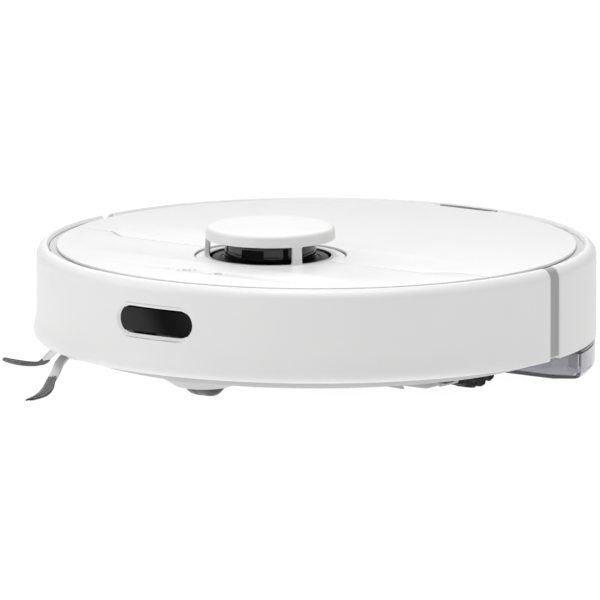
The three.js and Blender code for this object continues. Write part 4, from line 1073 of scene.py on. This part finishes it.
# ---- Side brush ----
# Each arm and its tuft as (out from the axis, sideways, height). The arms are soft, and one hangs steeper.
LONG_ARM = [(7, -1.2, 17.9), (14, -2.6, 17.4), (20, -3.4, 16.3), (27, -3.4, 13.9)]
LONG_ARM += [(34, -2.4, 10.9), (40, -1.4, 8.7), (45, -0.6, 7.7)]
LONG_TUFT = [(43.6, -0.8, 7.9), (50, 0.4, 6.4), (57, 2.2, 4.6), (65, 3.3, 3.1)]
LONG_TUFT += [(72, 3.6, 2.1), (80, 2.8, 1.5), (87, 1.2, 1.1)]
STEEP_ARM = [(7, 0, 18.1), (15, 0, 17.6), (22, 0, 16.4), (28, 0, 13.6), (32, 0, 10.8), (36.5, 0, 7.4)]
STEEP_TUFT = [(35.4, 0, 7.6), (39, 0.2, 5.2), (44, 0.8, 3.4), (51, 2.2, 2.5)]
STEEP_TUFT += [(60, 3.2, 2.1), (71, 2.8, 1.8), (81.4, 1.2, 1.5)]
BRUSH_ARMS = [(STEEP_ARM, STEEP_TUFT), (LONG_ARM, LONG_TUFT), (LONG_ARM, LONG_TUFT)]
ARM_WIDTH, ARM_THICK = 6.4, 2.4
BRISTLES = 120
BRUSH_AT = (BRUSH_X, BRUSH_Y, 0)


def on_brush(shape, turn):
    return turned(moved(shape, BRUSH_X, BRUSH_Y), turn, "Z", BRUSH_AT)


def fine_line(knots, count):
    """Knots of (out, sideways, height) drawn as a smooth line of count points."""
    out = np.linspace(knots[0][0], knots[-1][0], count)
    sideways = flowing([(r, s) for r, s, _ in knots], out)
    height = flowing([(r, z) for r, _, z in knots], out)
    return list(zip(out, sideways, height))


def arm_section(k):
    half, thick = ARM_WIDTH / 2 * (1 - 0.006 * k), ARM_THICK / 2
    return rounded(rectangle(-half, half, -thick, thick), 0.5, 2)


def fibre(line, shift, layer, reach, sway, radius):
    """One bristle: shift across the tuft, layer up it, how far it reaches and how much it sways."""
    path = []
    first = line[0][0]
    for k, (out, sideways, height) in enumerate(fine_line(line, 10)):
        t = k / 9
        spreading = 0.85 + 0.5 * math.sin(math.pi * t * 0.9) - 0.15 * t**3
        path.append(
            (
                first + (out - first) * (1 - t * (1 - reach)),
                sideways + shift * spreading + sway * t * t,
                max(0.5, height + layer * (1 - 0.5 * t)),
            )
        )

    def section(k):
        r = radius * (1 - 0.05 * k)
        return [(r * math.cos(a), r * math.sin(a)) for a in np.radians([30, 150, 270])]

    return swept(path, section)


def tuft_shape(line, seed):
    random = np.random.default_rng(seed)
    made = []
    for _ in range(BRISTLES):
        shift = random.uniform(-2.6, 2.6)
        reach = 0.94 - 0.018 * shift + random.uniform(-0.02, 0.01)
        layer, sway = random.uniform(-1.2, 1.2), random.uniform(-0.4, 0.4)
        made.append(fibre(line, shift, layer, reach, sway, random.uniform(0.36, 0.5)))
    return merge(*made)


hub_profile = [(0, 12.6), (2.1, 12.6), (2.1, 13.4), (3.4, 13.4), (3.4, 12.6), (6, 12.6)]
hub_profile += [(9.5, 14.2), (9.5, 19.6), (4, 19.6), (4, 26), (0, 26)]
hub_profile = rounded(hub_profile, [0, 0, 0.2, 0.2, 0.3, 1.0, 1.0, 0.5, 0.3, 0.4, 0], 3)
hub = spun(hub_profile, 64, "Z", BRUSH_AT)
turns = [BRUSH_TURN, BRUSH_TURN + 120, BRUSH_TURN + 240]
for turn, (arm, _) in zip(turns, BRUSH_ARMS):
    hub = fused(hub, on_brush(swept(fine_line(arm, 22), arm_section), turn))
piece("side_brush_rotor", hub, STRAP, "side_brush", ["side_brush_hub"])
for i, (turn, (_, tuft)) in enumerate(zip(turns, BRUSH_ARMS)):
    made, number = on_brush(tuft_shape(tuft, 7 + i), turn), str(i + 1)
    replaced = ["bristle_tuft_" + number]
    piece("side_brush_fibres_" + number, made, BRISTLE, "side_brush", replaced)


# ---- Drive wheels ----
LUGS = 22
ROOT_R = 32.2
WHEEL_IN = WHEEL_FACE - WHEEL_WIDTH


def tyre_shape():
    """A soft tyre whose lugs are chevrons with rounded edges, and whose outer wall has one fine ridge."""
    steps = LUGS * 12
    across = [WHEEL_IN + a for a in (0, 0.8, 2.4, 4.8, 8, 12, 16, 18.6, 19.5, 20)]
    rise = [-5.0, -3.4, -0.8, 0.6, 1.0, 1.0, 1.0, 0.9, 0.55, 0.0]
    points = []
    wall = [(29.6, 0.0), (30.4, 0.5), (31.6, 0.5), (32.4, 0.0)]
    for i in range(steps):
        turn = i / steps * 2 * math.pi
        ring = [(WHEEL_IN, 27.0), (WHEEL_IN, 28.6)]
        for x, up in zip(across, rise):
            lean = abs(x - (WHEEL_IN + WHEEL_WIDTH / 2)) / WHEEL_WIDTH * 0.3
            phase = (i / 12 + lean) % 1.0
            lug = 1 / (1 + math.exp((abs(phase - 0.5) - 0.29) * 42))
            ring.append((x, ROOT_R - 0.5 * (1 - up) + (WHEEL_R - ROOT_R) * lug * (0.75 + 0.25 * max(up, 0))))
        for r, proud in reversed(wall):
            ring.append((WHEEL_FACE - (0.5 - proud), r))
        ring.append((WHEEL_FACE, 27.0))
        for x, r in ring:
            points.append((x, WHEEL_Y + r * math.sin(turn), WHEEL_R - r * math.cos(turn)))
    return np.array(points), bands(steps, len(ring), closed=True)


def hub_shape():
    face = WHEEL_FACE - 0.8
    profile = [(WHEEL_IN - 6, 0), (WHEEL_IN - 6, 4), (WHEEL_IN + 1, 4), (WHEEL_IN + 1, 26.7)]
    profile += [(face, 26.7), (face, 24.1), (face - 4.2, 22.7)]
    profile += [(face - 4.2, 9), (face - 0.6, 8), (face - 0.6, 0)]
    profile = rounded(profile, [0, 0.3, 0.3, 0.4, 0.4, 0.4, 0.8, 0.8, 0.6, 0], 3)
    made = spun([(r, x) for x, r in profile], 96, "X", (0, WHEEL_Y, WHEEL_R))
    spokes = []
    for a in range(0, 360, 60):
        spoke = block(-1.6, 1.6, 7.4, 24, face - 4.6, face - 1.2, 0.6, 0.4)
        spoke = (spoke[0][:, [2, 0, 1]] + (0, WHEEL_Y, WHEEL_R), spoke[1])
        spokes.append(turned(spoke, a, "X", (0, WHEEL_Y, WHEEL_R)))
    return fused(made, *spokes)


tyre, rim = tyre_shape(), hub_shape()
for side, flip in SIDES.items():
    body = "wheel_" + side
    piece("tyre_tread_" + side, flip(tyre), RUBBER, body, ["tyre_" + side])
    piece("wheel_rim_" + side, flip(rim), GREY, body, ["wheel_hub_" + side])


# ---- Caster ----
cup_profile = [(0, 7), (17.6, 7), (19.2, 8), (27.4, 13.2), (27.4, 16.4)]
cup_profile += [(22.6, 16.4), (22.6, 38.4), (5, 38.4), (5, 50), (0, 50)]
cup_profile = rounded(cup_profile, [0, 0.9, 2.0, 0.8, 0.3, 0.3, 0.5, 0.3, 0.4, 0], 4)
cup = spun(cup_profile, 128, "Z", (0, CASTER_Y, 0))
CASTER_WHEEL_Y = CASTER_Y + 3
cup = cut(
    cup,
    rod(CASTER_R + 0.9, -8.5, 8.5, CASTER_WHEEL_Y, CASTER_R, 96),
    brick(-8.5, 8.5, CASTER_WHEEL_Y - 15.3, CASTER_WHEEL_Y + 15.3, 0, CASTER_R),
    rod(2.3, -11.5, 11.5, CASTER_WHEEL_Y, CASTER_R, 24),
)
piece("caster_bowl", cup, PALE, "caster", ["caster_cup"])
roll_side = [(2.3, -6.8), (8.6, -6.8), (9.2, -6.2), (11.6, -6.2), (12.2, -6.9), (15.4, -7.6)]
roll_side += [(17.1, -6.6), (17.5, -4.4)]
roll_profile = roll_side + [(CASTER_R, -1.1), (17.1, -0.7), (17.1, 0.7), (CASTER_R, 1.1)]
roll_profile += [(r, -x) for r, x in reversed(roll_side)]
roll = spun(rounded(roll_profile, 0.25, 2), 96, "X", (0, CASTER_WHEEL_Y, CASTER_R))
piece("caster_roll", roll, ROLL, "caster_wheel", ["caster_wheel"])


# ---- Underside ----
def screw(x, y, z):
    """A countersunk cross-head screw seen from below."""
    profile = rounded([(0, z), (2.3, z), (2.3, z + 1.2), (0, z + 1.2)], [0, 0.4, 0.1, 0], 3)
    slots = [brick(x - a, x + a, y - b, y + b, z - 1, z + 0.7) for a, b in ((1.5, 0.28), (0.28, 1.5))]
    return cut(spun(profile, 32, "Z", (x, y, 0)), *slots)


SCREWS = [(-36, -86), (84, -92), (20, -84), (88, -50), (-88, -50), (60, 8), (-60, 8), (0, 8)]
SCREWS += [(30, 28), (-30, 28), (-60, -92)]
screws = merge(*[screw(x, y, BASE_Z - 0.35) for x, y in SCREWS])
piece("base_screws", screws, STEEL, "chassis")

PAN_OUTSIDE = [(0, 12), (136.5, 12), (139, 12.15), (145, 13.1), (150, 14.1), (155, 15.8), (160, 17.8)]
PAN_OUTSIDE += [(164.6, 20.6), (165.6, 21.4), (165.9, 22.2), (165.9, 24)]
PAN_INSIDE = [(163.8, 24), (163.4, 22.6), (158.8, 19.7), (149.2, 16.2), (137.6, 14.2), (0, 14.2)]
BAY_FRONT = 37.2
CLIFF_SPOTS = [(52, -117), (-52, -117), (131, -52), (-131, -52)]


def on_cone(*profile):
    return spun([(0, profile[0][1]), *profile, (0, profile[-1][1])], 64, "Z", BRUSH_AT)


def base_shape():
    pan = spun(PAN_OUTSIDE + PAN_INSIDE, 192)
    filled = spun(PAN_OUTSIDE + [(0, 24)], 192)
    pan = cut(pan, brick(-200, 200, BAY_FRONT, 200, -1, 30))
    roof = common(on_cone((37.6, 12), (37.6, 12.6), (17.8, 22.6)), filled)
    bay_wall = block(-138, 138, BAY_FRONT - 0.1, BAY_FRONT + 1.6, 12, 24, 0.3, 0.2)
    bay_roof = common(disc(164.8, 22, 24, 0, 0, 192), brick(-200, 200, BAY_FRONT - 0.1, 200, 0, 30))
    made = fused(pan, roof, bay_wall, bay_roof)
    cuts = [
        brick(-80, 80, -76, -26, 0, 20),
        brick(34, 80, -112, -80, 0, 20),
        disc(28.4, 0, 20, 0, CASTER_Y, 96),
        on_cone((36, 0), (36, 11.8), (17, 21)),
        disc(5, 0, 24, BRUSH_X, BRUSH_Y, 48),
    ]
    for side in (-1, 1):
        x0, x1 = sorted((side * 89.6, side * 125.8))
        cuts.append(brick(x0, x1, -42, 36.8, 0, 40))
        cuts.append(brick(side * 40 - 7.3, side * 40 + 7.3, -130.3, -123.7, 0, 20))
    cuts += [brick(x - 6.8, x + 6.8, y - 4.3, y + 4.3, 0, 20) for x, y in CLIFF_SPOTS]
    # Fine grooves run across the flat, and round its edge.
    cuts += [brick(-66, 66, y - 0.4, y + 0.4, 11, 12.4) for y in (-14, -10, -6)]
    cuts.append(spun([(133.6, 11), (134.4, 11), (134.4, 12.35), (133.6, 12.35)], 192))
    return cut(made, *cuts)


piece("base_pan", base_shape(), UNDER, "chassis", ["base_plate"])
posts = block(85.2, 89.4, -43, -29, 12.6, 51, 0.8, 0.6)
posts = cut(posts, rod(4.3, 84, 91, -36, 44, 48))
piece("arm_posts", merge(posts, mirrored(posts)), UNDER, "chassis")

fairing = merge(
    block(96, 124.4, -58, -38.6, 8, 14, 3, 1.4), block(122.7, 125.4, -44, -25, 7.4, 16, 1.0, 0.8)
)
fin = [(-78, 13.5), (-74.5, 10.2), (-52.4, 5.0), (-51.6, 5.4), (-55, 9.0), (-58, 13.5)]
fin = prism(fin, soft_levels(101.6, 103.4, 0.4, 2), axis="X")
for side, flip in SIDES.items():
    piece("wheel_fairing_" + side, flip(fairing), UNDER, "chassis")
    piece("wheel_fin_" + side, flip(fin), UNDER, "chassis")

for side, x in (("left", 40), ("right", -40)):
    plate = block(x - 7, x + 7, -130, -124, BASE_Z - 0.5, BASE_Z + 2, 1.4, 0.45)
    piece("contact_plate_" + side, plate, STEEL, "chassis", ["charging_contact_" + side])


# ---- Stage, light and camera ----
AZIMUTH, ELEVATION = 35.4, 9.95
FLOOR_GLOW = 0.97
WORLD_LIGHT = 0.336
# Degrees round from the camera, degrees up, metres away, width and height in metres, watts.
SOFTBOXES = {
    "overhead": (0, 88, 2.2, 1.6, 1.6, 35),
    "left": (-80, 22, 2.0, 1.2, 1.0, 6.5),
    "front_left": (-40, 30, 2.2, 0.9, 0.9, 1.5),
    "right": (62, 24, 2.2, 0.9, 0.9, 1.0),
    "behind": (180, 35, 2.4, 1.8, 1.0, 10.6),
}


def plain_floor():
    half = 4.0
    mesh = bpy.data.meshes.new("floor")
    mesh.from_pydata([(x, y, 0) for x, y in rectangle(-half, half, -half, half)], [], [(0, 1, 2, 3)])
    floor = in_scene("floor", mesh)
    material = bpy.data.materials.new("pale_floor")
    material.use_nodes = True
    shader = material.node_tree.nodes["Principled BSDF"]
    looks = {
        "Base Color": (0.1, 0.1, 0.1, 1),
        "Roughness": 0.9,
        "Specular IOR Level": 0.1,
        "Emission Color": (1, 1, 1, 1),
        "Emission Strength": FLOOR_GLOW,
    }
    for key, value in looks.items():
        shader.inputs[key].default_value = value
    mesh.materials.append(material)


def direction(degrees_round, degrees_up):
    a, e = math.radians(AZIMUTH + degrees_round), math.radians(degrees_up)
    return Vector((math.sin(a) * math.cos(e), -math.cos(a) * math.cos(e), math.sin(e)))


def softbox(name, degrees_round, degrees_up, away, width, height, power):
    light = bpy.data.lights.new(name, "AREA")
    light.shape = "RECTANGLE"
    light.size, light.size_y = width, height
    light.energy = power
    lamp = in_scene(name, light)
    way = direction(degrees_round, degrees_up)
    lamp.location = CENTRE + way * away
    lamp.rotation_euler = (-way).to_track_quat("-Z", "Y").to_euler()


plain_floor()
for name, values in SOFTBOXES.items():
    softbox(name, *values)

world = bpy.data.worlds.new("studio")
world.use_nodes = True
world.node_tree.nodes["Background"].inputs["Color"].default_value = (1, 1, 1, 1)
world.node_tree.nodes["Background"].inputs["Strength"].default_value = WORLD_LIGHT
bpy.context.scene.world = world
bpy.context.scene.view_settings.view_transform = "Standard"

DISTANCE = 15.0
LENS_PER_METRE = 97.0
AIM_HEIGHT = 45.0
AIM_RIGHT, AIM_UP = -10.16, -2.24

back_way = direction(0, ELEVATION)
right_way = Vector((math.cos(math.radians(AZIMUTH)), math.sin(math.radians(AZIMUTH)), 0))
up_way = back_way.cross(right_way)
aim = CENTRE + (Vector((0, 0, AIM_HEIGHT)) + right_way * AIM_RIGHT + up_way * AIM_UP) * MM
camera_data = bpy.data.cameras.new("camera")
camera_data.lens = LENS_PER_METRE * DISTANCE
camera_data.sensor_width = 36
camera_data.clip_start, camera_data.clip_end = 1, 400
camera = in_scene("camera", camera_data)
camera.location = aim + back_way * DISTANCE
camera.rotation_euler = (-back_way).to_track_quat("-Z", "Y").to_euler()
bpy.context.scene.camera = camera
